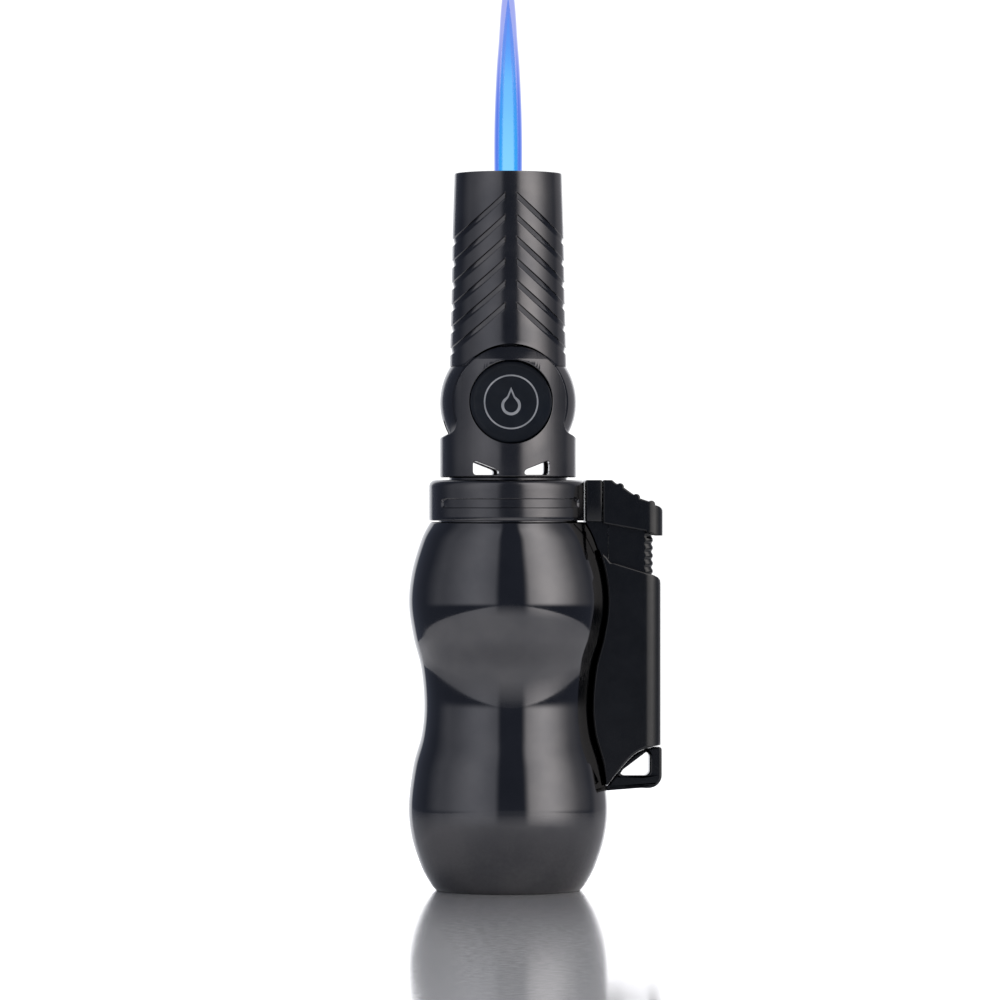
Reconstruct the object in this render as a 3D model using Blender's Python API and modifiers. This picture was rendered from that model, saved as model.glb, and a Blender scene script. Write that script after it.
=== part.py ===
"""A refillable butane torch with a tilting burner head.

Frame: the origin is the middle of the base, +Z is up, +X points to the trigger, and -Y is the front.
All the sizes below are millimetres, and the helpers turn them into metres.
"""

import math

import bmesh
import bpy
from mathutils import Matrix

MM = 0.001
GAP = 0.3
FINE = 32
MEDIUM = 24
COARSE = 16
ROUGH = 10

# The exact solver leaves a few cuts open. Those cuts use this one.
OPEN_CUT_SOLVER = "MANIFOLD"

# Turned body: radius and height of the points that shape its hourglass side, from the top down.
BODY_KEYS = (
    (15.2, 71.9), (16.9, 68.6), (18.8, 62.2), (19.4, 55.9), (18.5, 49.4), (17.0, 43.4), (16.4, 36.4),
    (16.9, 30.4), (18.5, 24.4), (19.45, 16.8), (18.9, 10.6), (17.0, 4.7), (15.1, 1.2), (14.1, 0.0),
)
BODY_TOP = 71.9
BODY_WALL = 1.0
BASE_RADIUS = 12.8

# Gas tank and its two valves.
TANK_RADIUS = 12.6
TANK_BOTTOM = 4.6
TANK_TOP = 57.0
TANK_WALL = 1.3
LID_TOP = 60.0
FILL_X = -6.2
DIAL_X = 6.2
BASE_SCREW_Y = 9.0
LEVER_PIVOT = (4.0, 67.5)
LEVER_HALF = 1.8
LEVER_ROOM = 2.2

# Cap, yoke and tilting ball.
CAP_BOTTOM = 72.2
CAP_TOP = 80.1
CAP_RADIUS = 15.45
YOKE_BOTTOM = 80.6
YOKE_FLOOR = 80.9
YOKE_RADIUS = 13.3
SPIGOT_RADIUS = 11.5
PIVOT_Z = 95.2
EAR_RADIUS = 10.95
EAR_INSIDE = 7.2
WELL_HALF = 7.0
BALL_RADIUS = 13.3
BALL_HALF = 6.95
SLOT_HALF = 2.3
HOLLOW_HALF = 2.5
COVER_RADIUS = 7.95
COVER_FACE = 10.6
COVER_FLOOR = 9.8
PIN_RADIUS = 1.9

# Burner head.
BARREL_TOP = 140.0
BARREL_BOTTOM = 101.9
BARREL_SIDE = ((10.5, 139.6), (10.85, 129.0), (11.1, 115.0), (11.4, 103.0), (11.4, BARREL_BOTTOM))
BARREL_BORE = 9.2
GROOVE_TOP = 136.1
GROOVE_PITCH = 4.27
GROOVE_COUNT = 6
GROOVE_DEPTH = 0.5
GROOVE_DROP = 0.88
SPINE_HALF = 1.0
ELECTRODE_X = 7.0

# Handle side: housing, trigger and igniter all share one vertical axis.
HANDLE_X = 24.2
HOUSING_HALF = 5.5
HOUSING_CORNER = 3.2
CAVITY_HALF = 4.4
CAVITY_CORNER = 2.1
SKIRT_HALF = 4.0
SKIRT_CORNER = 1.8
SKIRT_LEFT = 19.4
SPINE_RIGHT = SKIRT_LEFT - 0.3
TRIGGER_HALF = 5.2
TRIGGER_CORNER = 3.0
TRIGGER_LEFT = 18.2
TRIGGER_RIGHT = 30.1
TRIGGER_TOP = 80.1
CAVITY_BOTTOM = 29.0
IGNITER_HALF = 2.9
IGNITER_BOTTOM = 30.0
IGNITER_TOP = 52.0
PLUNGER_TOP = 63.7
HOUSING_RIGHT = 29.7
HOUSING_FOOT = ((28.1, 28.2), (24.5, 26.8), (20.6, 22.6), (18.8, 20.2))
HOUSING_SCREWS = {"upper": 38.0, "lower": 28.0}

PARTS = None
CUTTERS = None

FINISHES = {
    "gunmetal": ((0.16, 0.16, 0.17), 0.12, 1.0),
    "black_plastic": ((0.018, 0.020, 0.024), 0.35, 0.0),
    "satin_black": ((0.012, 0.012, 0.014), 0.5, 0.0),
    "steel": ((0.55, 0.56, 0.58), 0.3, 1.0),
    "brass": ((0.70, 0.50, 0.20), 0.28, 1.0),
    "ceramic": ((0.85, 0.84, 0.80), 0.4, 0.0),
    "rubber": ((0.02, 0.02, 0.02), 0.8, 0.0),
    "tank_plastic": ((0.65, 0.68, 0.70), 0.35, 0.0),
    "wire_red": ((0.35, 0.03, 0.03), 0.45, 0.0),
}


# ---------------------------------------------------------------- helpers

def clear_scene():
    for item in list(bpy.data.objects):
        bpy.data.objects.remove(item, do_unlink=True)


def new_collection(name):
    made = bpy.data.collections.new(name)
    bpy.context.scene.collection.children.link(made)
    return made


def finish_material(name, finish):
    """Give one piece its own Principled material."""
    colour, roughness, metallic = FINISHES[finish]
    made = bpy.data.materials.new(f"{name}_{finish}")
    made.use_nodes = True
    shader = made.node_tree.nodes["Principled BSDF"]
    shader.inputs["Base Color"].default_value = (*colour, 1.0)
    shader.inputs["Roughness"].default_value = roughness
    shader.inputs["Metallic"].default_value = metallic
    return made


def add_object(name, data, finish):
    """Put a mesh or curve in the parts, or in the cutters where it has no finish."""
    made = bpy.data.objects.new(name, data)
    if finish is None:
        CUTTERS.objects.link(made)
        made.hide_render = True
        made.display_type = "WIRE"
    else:
        PARTS.objects.link(made)
        data.materials.append(finish_material(name, finish))
    return made


def turn_towards(made, centre, along):
    """Place an object whose own axis is +Z so that the axis points along a world axis."""
    quarter = math.pi / 2
    turns = {"Z": (0, 0, 0), "Y": (-quarter, 0, 0), "-Y": (quarter, 0, 0), "X": (0, quarter, 0)}
    made.location = [value * MM for value in centre]
    made.rotation_euler = turns[along]


def turned(name, profile, finish, steps=COARSE, centre=(0, 0, 0), along="Z", ring=False):
    """Spin a profile of (radius, height) points, listed from the top down the outer side."""
    mesh = bpy.data.meshes.new(name)
    edges = [(index, index + 1) for index in range(len(profile) - 1)]
    if ring:
        edges.append((len(profile) - 1, 0))
    mesh.from_pydata([(radius * MM, 0, height * MM) for radius, height in profile], edges, [])
    made = add_object(name, mesh, finish)
    turn_towards(made, centre, along)
    screw = made.modifiers.new("Turn", "SCREW")
    screw.steps = steps
    screw.render_steps = steps
    screw.use_merge_vertices = True
    screw.merge_threshold = 0.000005
    screw.use_smooth_shade = True
    return made


def cylinder(name, radius, low, high, finish, steps=COARSE, centre=(0, 0, 0), along="Z"):
    return turned(name, ((0, high), (radius, high), (radius, low), (0, low)), finish, steps, centre, along)


def tube(name, outer, inner, low, high, finish, steps=COARSE, centre=(0, 0, 0), along="Z"):
    profile = ((inner, high), (outer, high), (outer, low), (inner, low))
    return turned(name, profile, finish, steps, centre, along, ring=True)


def box(name, low, high, finish, bevel=0.0):
    """A block between two opposite corners."""
    mesh = bpy.data.meshes.new(name)
    shape = bmesh.new()
    bmesh.ops.create_cube(shape, size=1.0)
    size = [(far - near) * MM for near, far in zip(low, high)]
    middle = [(far + near) / 2 * MM for near, far in zip(low, high)]
    bmesh.ops.scale(shape, vec=size, verts=shape.verts)
    shape.to_mesh(mesh)
    shape.free()
    made = add_object(name, mesh, finish)
    made.location = middle
    if bevel:
        add_bevel(made, bevel)
    return made


def add_bevel(made, width, segments=2):
    bevel = made.modifiers.new("Round edges", "BEVEL")
    bevel.width = width * MM
    bevel.segments = segments
    bevel.limit_method = "ANGLE"


def slab(name, outlines, low, high, finish, plane="XY"):
    """Extrude closed outlines: XY ones rise along Z and XZ ones run along Y, from low to high."""
    curve = bpy.data.curves.new(name, "CURVE")
    curve.dimensions = "2D"
    curve.fill_mode = "BOTH"
    curve.extrude = (high - low) / 2 * MM
    for outline in outlines:
        spline = curve.splines.new("POLY")
        spline.points.add(len(outline) - 1)
        spline.use_cyclic_u = True
        for point, (across, up) in zip(spline.points, outline):
            point.co = (across * MM, up * MM, 0, 1)
    guide = bpy.data.objects.new(name, curve)
    bpy.context.scene.collection.objects.link(guide)
    middle = (low + high) / 2 * MM
    place = Matrix.Translation((0, 0, middle))
    if plane == "XZ":
        place = Matrix.Translation((0, middle, 0)) @ Matrix.Rotation(math.pi / 2, 4, "X")
    mesh = mesh_of_curve(guide)
    made = add_object(name, mesh, finish)
    made.matrix_world = place
    return made


def mesh_of_curve(guide):
    """Turn a curve object into a welded mesh, and remove the curve."""
    evaluated = guide.evaluated_get(bpy.context.evaluated_depsgraph_get())
    mesh = bpy.data.meshes.new_from_object(evaluated)
    mesh.materials.clear()
    shape = bmesh.new()
    shape.from_mesh(mesh)
    bmesh.ops.remove_doubles(shape, verts=shape.verts, dist=0.000001)
    bmesh.ops.recalc_face_normals(shape, faces=shape.faces)
    shape.to_mesh(mesh)
    shape.free()
    bpy.data.objects.remove(guide, do_unlink=True)
    return mesh


def wire(name, route, radius, finish):
    """A round wire or hose along a route of points, with closed ends."""
    curve = bpy.data.curves.new(name, "CURVE")
    curve.dimensions = "3D"
    curve.bevel_depth = radius * MM
    curve.bevel_resolution = 2
    curve.use_fill_caps = True
    spline = curve.splines.new("POLY")
    spline.points.add(len(route) - 1)
    for point, place in zip(spline.points, route):
        point.co = (*[value * MM for value in place], 1)
    return add_object(name, curve, finish)


def coil(name, radius, gauge, low, high, turns, centre):
    """A compression spring: a wire that climbs a helix between two heights."""
    count = turns * ROUGH
    climb = high - low - 2 * gauge
    route = []
    for index in range(count + 1):
        angle = 2 * math.pi * index / ROUGH
        across = centre[0] + radius * math.cos(angle)
        along = centre[1] + radius * math.sin(angle)
        route.append((across, along, low + gauge + climb * index / count))
    return wire(name, route, gauge, "steel")


def carve(made, tool, operation="DIFFERENCE", solver="EXACT"):
    """Cut one shape by another, or join or intersect them."""
    step = made.modifiers.new(tool.name, "BOOLEAN")
    step.operation = operation
    step.object = tool
    step.solver = solver


def smooth_line(keys, parts):
    """Points of a Catmull-Rom curve through the keys, with the same number of parts in each span."""
    padded = [keys[0], *keys, keys[-1]]
    line = []
    for before, start, end, after in zip(padded, padded[1:], padded[2:], padded[3:]):
        for index in range(parts):
            line.append(tuple(catmull(index / parts, *values) for values in zip(before, start, end, after)))
    line.append(tuple(keys[-1]))
    return line


def catmull(t, before, start, end, after):
    pull = 2 * before - 5 * start + 4 * end - after
    swing = 3 * start - before - 3 * end + after
    return 0.5 * (2 * start + (end - before) * t + pull * t * t + swing * t ** 3)


def arc(centre, radius, first, last, steps):
    """Points on a circle between two angles in degrees."""
    line = []
    for index in range(steps + 1):
        angle = math.radians(first + (last - first) * index / steps)
        line.append((centre[0] + radius * math.cos(angle), centre[1] + radius * math.sin(angle)))
    return line


def rounded(outline, radius, steps=3):
    """The same closed outline with each corner replaced by a short curve."""
    line = []
    for index, corner in enumerate(outline):
        back = outline[index - 1]
        onward = outline[(index + 1) % len(outline)]
        for step in range(steps + 1):
            t = step / steps
            start = toward(corner, back, radius)
            end = toward(corner, onward, radius)
            line.append(tuple((1 - t) ** 2 * a + 2 * t * (1 - t) * b + t * t * c
                              for a, b, c in zip(start, corner, end)))
    return line


def toward(corner, other, distance):
    length = math.dist(corner, other)
    share = min(distance, length * 0.45) / length
    return tuple(a + (b - a) * share for a, b in zip(corner, other))


def joint_empty(name, centre, pieces):
    """An empty on a joint's axis that carries the pieces which move with it."""
    made = bpy.data.objects.new(name, None)
    PARTS.objects.link(made)
    made.location = [value * MM for value in centre]
    bpy.context.view_layer.update()
    for piece in pieces:
        piece.parent = made
        piece.matrix_parent_inverse = made.matrix_world.inverted()
    return made


# ---------------------------------------------------------------- body, base and tank

def shell_outside(grow=0.0, parts=2):
    return [(radius + grow, height) for radius, height in smooth_line(BODY_KEYS, parts)]


def build_body_shell():
    inside = [(radius - BODY_WALL, height) for radius, height in (*BODY_KEYS[:-1:2], BODY_KEYS[-1])]
    profile = shell_outside() + inside[::-1]
    shell = turned("body_shell", profile, "gunmetal", FINE, ring=True)
    carve(shell, box("lever_slot_in_shell", (12, -LEVER_ROOM, 62.9), (19, LEVER_ROOM, 70.9), None))
    carve(shell, cylinder("wire_hole_in_shell", 0.9, 14, 19.5, None, ROUGH, (0, 0, 44), "X"))
    for height in HOUSING_SCREWS.values():
        carve(shell, cylinder("screw_hole_in_shell", 1.1, 14, 20, None, ROUGH, (0, 0, height), "X"))


def build_base():
    profile = ((0, 4.2), (14.3, 4.2), (14.2, 2.1), (BASE_RADIUS, 1.3), (BASE_RADIUS, 0), (0, 0))
    plate = turned("base_plate", profile, "satin_black", FINE)
    carve(plate, cylinder("fill_hole_in_base", 3.0, -1, 6, None, COARSE, (FILL_X, 0, 0)))
    carve(plate, cylinder("dial_hole_in_base", 3.4, -1, 6, None, COARSE, (DIAL_X, 0, 0)))
    for side, label in ((-1, "left"), (1, "right")):
        place = (0, side * BASE_SCREW_Y, 0)
        sunk = ((0, 7), (1.3, 7), (1.3, 2.2), (2.4, 2.2), (2.4, -1), (0, -1))
        carve(plate, turned("screw_hole_in_base", sunk, None, ROUGH, place))
        head = ((0, 9.0), (1.0, 9.0), (1.0, 1.9), (2.0, 1.9), (2.0, 0.7), (0, 0.7))
        turned(f"base_screw_{label}", head, "steel", ROUGH, place)


def build_tank():
    inside = TANK_RADIUS - TANK_WALL
    floor = TANK_BOTTOM + 5.4
    profile = (
        (TANK_RADIUS, TANK_TOP), (TANK_RADIUS, TANK_BOTTOM + 1), (TANK_RADIUS - 1, TANK_BOTTOM),
        (0, TANK_BOTTOM), (0, floor), (inside - 1, floor), (inside, floor + 1), (inside, TANK_TOP),
    )
    tank = turned("fuel_tank", profile, "tank_plastic", MEDIUM, ring=True)
    carve(tank, cylinder("fill_hole_in_tank", 3.0, 3, 12, None, COARSE, (FILL_X, 0, 0)))
    carve(tank, cylinder("dial_hole_in_tank", 1.1, 3, 12, None, ROUGH, (DIAL_X, 0, 0)))
    for side in (-1, 1):
        hole = cylinder("screw_hole_in_tank", 1.3, 3, 9.4, None, ROUGH, (0, side * BASE_SCREW_Y, 0))
        carve(tank, hole)

    plug = TANK_RADIUS - TANK_WALL - GAP
    lid_side = ((3.3, LID_TOP), (TANK_RADIUS, LID_TOP), (TANK_RADIUS, TANK_TOP + GAP))
    lid = turned("tank_lid", (*lid_side, (plug, TANK_TOP + GAP), (plug, 54.6), (3.3, 54.6)),
                 "tank_plastic", MEDIUM, ring=True)
    pivot_x, pivot_z = LEVER_PIVOT
    for side in (-1, 1):
        inner, outer = sorted((side * 2.1, side * 3.6))
        low_corner = (pivot_x - 1.4, inner, LID_TOP - 1)
        post = box("lever_post", low_corner, (pivot_x + 1.4, outer, pivot_z + 1.6), None)
        carve(lid, post, "UNION")
    pin_hole = cylinder("pin_hole_in_posts", 0.8, -5, 5, None, ROUGH, (pivot_x, 0, pivot_z), "Y")
    carve(lid, pin_hole)


def build_fill_valve():
    body = (
        (1.2, 12.4), (2.6, 12.4), (2.6, 1.4), (1.3, 1.4), (1.3, 2.6), (2.0, 2.6), (2.0, 11.4),
        (1.2, 11.4),
    )
    turned("fill_valve_body", body, "brass", COARSE, (FILL_X, 0, 0), ring=True)
    stem = ((0, 6.4), (0.9, 6.4), (0.9, 4.1), (1.6, 4.1), (1.6, 2.9), (0.9, 2.9), (0.9, 0.9), (0, 0.9))
    moving = turned("fill_valve_stem", stem, "brass", ROUGH, (FILL_X, 0, 0))
    coil("fill_valve_spring", 1.45, 0.22, 4.4, 11.1, 3, (FILL_X, 0))
    joint_empty("fill_valve_axis", (FILL_X, 0, 2), (moving,))


def build_flame_adjuster():
    dial = ((0, 9.2), (0.8, 9.2), (0.8, 3.9), (3.0, 3.9), (3.0, 1.2), (0, 1.2))
    adjuster = turned("flame_adjuster", dial, "brass", COARSE, (DIAL_X, 0, 0))
    carve(adjuster, box("dial_slot", (DIAL_X - 4, -0.4, 0), (DIAL_X + 4, 0.4, 2.1), None))
    joint_empty("flame_adjuster_axis", (DIAL_X, 0, 2), (adjuster,))


def build_gas_valve():
    body = (
        (1.3, 64.4), (2.5, 64.4), (2.5, 61.6), (3.0, 61.6), (3.0, 54.3), (4.6, 54.3), (4.6, 53.0),
        (3.0, 53.0), (3.0, 51.0), (0.7, 51.0), (0.7, 52.5), (2.2, 52.5), (2.2, 62.0), (1.3, 62.0),
    )
    turned("gas_valve_body", body, "brass", COARSE, ring=True)
    stem = (
        (0, 69.6), (1.0, 69.6), (1.0, 69.2), (2.1, 69.2), (2.1, 68.4), (1.0, 68.4), (1.0, 55.0),
        (1.7, 55.0), (1.7, 53.4), (0, 53.4),
    )
    moving = turned("gas_valve_stem", stem, "brass", ROUGH)
    coil("gas_valve_spring", 1.65, 0.22, 55.3, 61.7, 3, (0, 0))
    joint_empty("gas_valve_axis", (0, 0, 60), (moving,))


def build_valve_lever():
    """A rocker whose fork lifts the stem's collar and whose far end sits under the trigger."""
    pivot_x, pivot_z = LEVER_PIVOT
    top = pivot_z + 0.6
    low = pivot_z - 0.6
    outline = (
        (-1.6, low), (pivot_x - 1.4, low), (pivot_x - 0.9, low - 0.9), (pivot_x + 0.9, low - 0.9),
        (pivot_x + 1.4, low), (14.0, low), (18.4, 69.4), (21.5, 69.4), (21.5, 70.6), (17.8, 70.6),
        (13.4, top), (-1.6, top),
    )
    lever = slab("valve_lever", (outline,), -LEVER_HALF, LEVER_HALF, "steel", "XZ")
    fork_slot = box("fork_slot", (-3, -1.25, low - 2), (1.4, 1.25, top + 1), None)
    pin_hole = cylinder("pin_hole_in_lever", 0.8, -3, 3, None, ROUGH, (pivot_x, 0, pivot_z), "Y")
    carve(lever, fork_slot, solver=OPEN_CUT_SOLVER)
    carve(lever, pin_hole, solver=OPEN_CUT_SOLVER)
    cylinder("lever_pin", 0.6, -3.9, 3.9, "steel", ROUGH, (pivot_x, 0, pivot_z), "Y")
    joint_empty("valve_lever_axis", (pivot_x, 0, pivot_z), (lever,))


# ---------------------------------------------------------------- cap, yoke and pivot

def build_top_cap():
    plug = 13.6
    profile = (
        (4.6, 78.6), (SPIGOT_RADIUS + GAP, 78.6), (SPIGOT_RADIUS + GAP, CAP_TOP), (14.0, CAP_TOP),
        (15.0, 79.7), (CAP_RADIUS, 78.7), (CAP_RADIUS, CAP_BOTTOM), (plug, CAP_BOTTOM), (plug, 70.4),
        (plug - 1.2, 70.4), (plug - 1.2, CAP_BOTTOM), (4.6, CAP_BOTTOM),
    )
    cap = turned("top_cap", profile, "gunmetal", FINE, ring=True)
    band = slab("cap_band", (rounded(((-13.5, 74.7), (13.5, 74.7), (13.5, 76.4), (-13.5, 76.4)), 0.8),),
                -17, 17, None, "XZ")
    carve(band, cylinder("cap_band_core", CAP_RADIUS - 0.4, 70, 80, None, FINE))
    carve(cap, band)
    carve(cap, box("guide_notch", (14.6, -5.3, 70), (18, 5.3, 82), None))
    for index in range(3):
        angle = math.radians(90 + 120 * index)
        place = (8.2 * math.cos(angle), 8.2 * math.sin(angle), 0)
        sunk = ((0, 80), (1.3, 80), (1.3, 74.4), (2.3, 74.4), (2.3, 70), (0, 70))
        carve(cap, turned("screw_hole_in_cap", sunk, None, ROUGH, place))
        screw = ((0, 80.2), (1.0, 80.2), (1.0, 74.1), (2.0, 74.1), (2.0, 72.5), (0, 72.5))
        turned(f"cap_screw_{index + 1}", screw, "steel", ROUGH, place)
    box("trigger_guide", (14.9, -5.0, CAP_BOTTOM), (TRIGGER_LEFT - GAP, 5.0, CAP_TOP), "black_plastic", 0.35)


def ball_space(name, radius):
    """The room that the ball turns in: a sphere between the two ears."""
    half = EAR_INSIDE
    profile = [(0, half)]
    for index in range(9):
        height = half - 2 * half * index / 8
        profile.append((math.sqrt(radius ** 2 - height ** 2), height))
    profile.append((0, -half))
    return turned(name, profile, None, FINE, (0, 0, PIVOT_Z), "Y")


def build_yoke():
    profile = (
        (0, 107.0), (10.3, 107.0), (12.2, 105.0), (YOKE_RADIUS, 103.6), (YOKE_RADIUS, YOKE_BOTTOM),
        (SPIGOT_RADIUS, YOKE_BOTTOM), (SPIGOT_RADIUS, 78.9), (0, 78.9),
    )
    yoke = turned("pivot_yoke", profile, "gunmetal", FINE)

    def cut(tool):
        carve(yoke, tool, solver=OPEN_CUT_SOLVER)

    head = arc((0, PIVOT_Z), EAR_RADIUS, 198, -18, 20)
    left = ((-16, 86.0), (-12.3, 89.0), (-11.3, 89.3), (-10.6, 90.0), (-10.4, 91.0))
    right = [(-across, up) for across, up in left[::-1]]
    cut(slab("ear_outline", ([*left, *head, *right, (16, 110), (-16, 110)],), -16, 16, None, "XZ"))
    cut(ball_space("ball_room_in_yoke", BALL_RADIUS + GAP))
    cut(box("yoke_well", (-9.3, -WELL_HALF, YOKE_FLOOR), (9.3, WELL_HALF, 90), None))
    cut(cylinder("hose_hole_in_yoke", 3.4, 78, 82, None, COARSE))
    vent = rounded(((2.3, 81.0), (7.5, 81.0), (7.5, 84.1), (2.3, 82.0)), 0.7)
    mirrored = [(-across, up) for across, up in vent[::-1]]
    cut(slab("yoke_vents", (vent, mirrored), -16, 16, None, "XZ"))
    for index in range(3):
        angle = math.radians(90 + 120 * index)
        place = (8.2 * math.cos(angle), 8.2 * math.sin(angle), 0)
        cut(cylinder("screw_hole_in_yoke", 1.3, 78, 80.5, None, ROUGH, place))
    # From outside in: the cover's pocket, the screw head's seat, the axle hole and the washer's recess.
    pocket = (
        (0, 15), (COVER_RADIUS + GAP, 15), (COVER_RADIUS + GAP, COVER_FLOOR), (3.5, COVER_FLOOR), (3.5, 8.8),
        (PIN_RADIUS + GAP, 8.8), (PIN_RADIUS + GAP, 8.0), (4.5, 8.0), (4.5, 6.0), (0, 6.0),
    )
    for along in ("Y", "-Y"):
        cut(turned("pivot_pocket", pocket, None, MEDIUM, (0, 0, PIVOT_Z), along))


def build_pivot_fittings():
    for along, label in (("-Y", "front"), ("Y", "rear")):
        centre = (0, 0, PIVOT_Z)
        edge = COVER_RADIUS - 0.3
        rim = COVER_FACE - 0.3
        cover = ((0, COVER_FACE), (edge, COVER_FACE), (COVER_RADIUS, rim), (COVER_RADIUS, 10.0), (0, 10.0))
        turned(f"pivot_cover_{label}", cover, "satin_black", FINE, centre, along)
        screw = ((0, 9.6), (3.2, 9.6), (3.2, 9.0), (PIN_RADIUS, 9.0), (PIN_RADIUS, 3.0), (0, 3.0))
        turned(f"pivot_screw_{label}", screw, "steel", COARSE, centre, along)
        tube(f"pivot_washer_{label}", 4.2, PIN_RADIUS + GAP, 7.25, 7.75, "steel", COARSE, centre, along)


def build_ball():
    """The ball is hollow in the middle, so the hose and wire can cross it at any tilt."""
    profile = [(0, BALL_HALF)]
    for index in range(9):
        height = BALL_HALF - 2 * BALL_HALF * index / 8
        profile.append((math.sqrt(BALL_RADIUS ** 2 - height ** 2), height))
    profile.append((0, -BALL_HALF))
    ball = turned("ball_knuckle", profile, "gunmetal", FINE, (0, 0, PIVOT_Z), "Y")
    shoulder = 103.9
    carve(ball, box("ball_top", (-15, -15, shoulder), (15, 15, 112), None))
    neck = (
        (0, 108.6), (BARREL_BORE - GAP, 108.6), (BARREL_BORE - GAP, 106.9), (6.75, 106.7), (6.75, shoulder - 2),
        (0, shoulder - 2),
    )
    carve(ball, turned("ball_neck", neck, None, MEDIUM), "UNION")
    room = ((0, 112), (5.6, 112), (5.6, 102.0), (2.7, 101.2), (2.7, PIVOT_Z - 1), (0, PIVOT_Z - 1))
    carve(ball, turned("hose_room_in_ball", room, None, COARSE))
    pivot = (0, 0, PIVOT_Z)
    hollow = cylinder("hollow_in_ball", 9.6, -HOLLOW_HALF, HOLLOW_HALF, None, MEDIUM, pivot, "Y")
    carve(ball, hollow, solver=OPEN_CUT_SOLVER)
    slot_low = (-15, -SLOT_HALF, PIVOT_Z - 15)
    carve(ball, box("hose_slot_in_ball", slot_low, (15, SLOT_HALF, PIVOT_Z - 3.5), None))
    carve(ball, cylinder("axle_hole_in_ball", PIN_RADIUS + GAP, -8, 8, None, COARSE, (0, 0, PIVOT_Z), "Y"))
    return ball


# ---------------------------------------------------------------- burner head

def build_barrel():
    mouth = ((BARREL_BORE + 0.3, BARREL_TOP), (10.1, BARREL_TOP))
    bore = ((BARREL_BORE, BARREL_BOTTOM), (BARREL_BORE, BARREL_TOP - 0.3))
    barrel = turned("nozzle_barrel", (*mouth, *BARREL_SIDE, *bore), "gunmetal", FINE, ring=True)
    carve(barrel, ball_space("ball_room_in_barrel", BALL_RADIUS + 0.12))
    carve(barrel, cylinder("ear_room_in_barrel", EAR_RADIUS + GAP, -15, 15, None, FINE, (0, 0, PIVOT_Z), "Y"))
    outlines = []
    for index in range(GROOVE_COUNT):
        tip = GROOVE_TOP - GROOVE_PITCH * index
        reach = 12.5
        fall = GROOVE_DROP * (reach - SPINE_HALF)
        right = ((SPINE_HALF, tip - 1.6), (reach, tip - fall - 1.3), (reach, tip - fall), (SPINE_HALF, tip))
        outlines.append(right)
        outlines.append([(-across, up) for across, up in right[::-1]])
    grooves = slab("chevron_grooves", outlines, -15, 15, None, "XZ")
    side = [(radius - GROOVE_DEPTH, height) for radius, height in BARREL_SIDE]
    core = [(0, 145), (side[0][0], 145), *side, (0, BARREL_BOTTOM)]
    carve(grooves, turned("barrel_core", core, None, FINE))
    carve(barrel, grooves)
    return barrel


def build_burner():
    tube_side = ((4.0, 131.0), (4.6, 131.0), (4.6, 109.6), (2.3, 109.6), (2.3, 110.8), (4.0, 112.0))
    burner = turned("burner_tube", tube_side, "steel", COARSE, ring=True)
    carve(burner, box("air_holes_across", (-6, -1, 112.6), (6, 1, 114.6), None))
    carve(burner, box("air_holes_along", (-1, -6, 112.6), (1, 6, 114.6), None))
    holder = tube("burner_holder", BARREL_BORE - GAP, 4.9, 118.0, 120.0, "steel", MEDIUM)
    for index in range(6):
        angle = 2 * math.pi * index / 6
        place = (ELECTRODE_X * math.cos(angle), ELECTRODE_X * math.sin(angle), 0)
        carve(holder, cylinder("holder_hole", 1.3, 117, 121, None, ROUGH, place))
    nozzle = (
        (2.6, 134.6), (4.2, 134.6), (5.6, 133.2), (5.6, 126.5), (4.9, 126.5), (4.9, 131.3), (2.6, 131.3),
    )
    tip = turned("flame_nozzle", nozzle, "brass", MEDIUM, ring=True)
    jet = (
        (0, 113.0), (1.0, 113.0), (2.0, 111.4), (2.0, 106.6), (3.4, 106.6), (3.4, 104.2), (1.5, 104.2),
        (1.5, 102.4), (0, 102.4),
    )
    gas_jet = turned("gas_jet", jet, "brass", COARSE)
    insulator = tube("electrode_insulator", 1.0, 0.6, 112.0, 131.0, "ceramic", ROUGH, (ELECTRODE_X, 0, 0))
    route = [(ELECTRODE_X, 0, height) for height in (110.5, 118, 126, 133.0)]
    route += [(ELECTRODE_X - 0.4, 0, 134.4), (ELECTRODE_X - 1.4, 0, 135.0), (ELECTRODE_X - 2.6, 0, 135.0)]
    electrode = wire("electrode", route, 0.3, "steel")
    return [burner, holder, tip, gas_jet, insulator, electrode]


def build_hose_and_wire():
    """The hose and the spark wire, each open for a short gap at the pivot."""
    hose_y = -0.85
    wire_y = 1.3
    low_hose = [(0, 0, 71.9), (0, -0.2, 74.0), (0, -0.6, 77.0), (0, hose_y, 81.0), (0, hose_y, 86.0),
                (0, hose_y, PIVOT_Z - 1.4)]
    high_hose = [(0, hose_y, PIVOT_Z + 1.4), (0, hose_y, 98.6), (0, -0.4, 100.4), (0, 0, 102.0)]
    wire("gas_hose_lower", low_hose, 1.1, "rubber")
    upper_hose = wire("gas_hose_upper", high_hose, 1.1, "rubber")
    keys = ((21.0, 0, 44.0), (17.0, 0, 44.0), (14.9, 0.4, 46.0), (14.5, 2.0, 53.0), (14.2, 4.0, 60.5),
            (10.8, 5.2, 65.6), (6.2, 4.6, 69.0), (3.0, 2.6, 72.0), (1.2, 1.7, 76.0), (0, wire_y, 82.0),
            (0, wire_y, PIVOT_Z - 1.4))
    wire("igniter_wire_lower", smooth_line(keys, 3), 0.4, "wire_red")
    keys = (
        (0, wire_y, PIVOT_Z + 1.4), (0, 1.3, 99.6), (0.4, 1.5, 101.6), (2.6, 2.5, 103.6),
        (4.2, 1.8, 105.6), (4.8, 0.7, 107.6), (5.1, 0.3, 108.8), (6.4, 0, 109.8),
        (ELECTRODE_X, 0, 110.2),
    )
    upper_wire = wire("igniter_wire_upper", smooth_line(keys, 3), 0.4, "wire_red")
    return [upper_hose, upper_wire]


# ---------------------------------------------------------------- handle side

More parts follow.
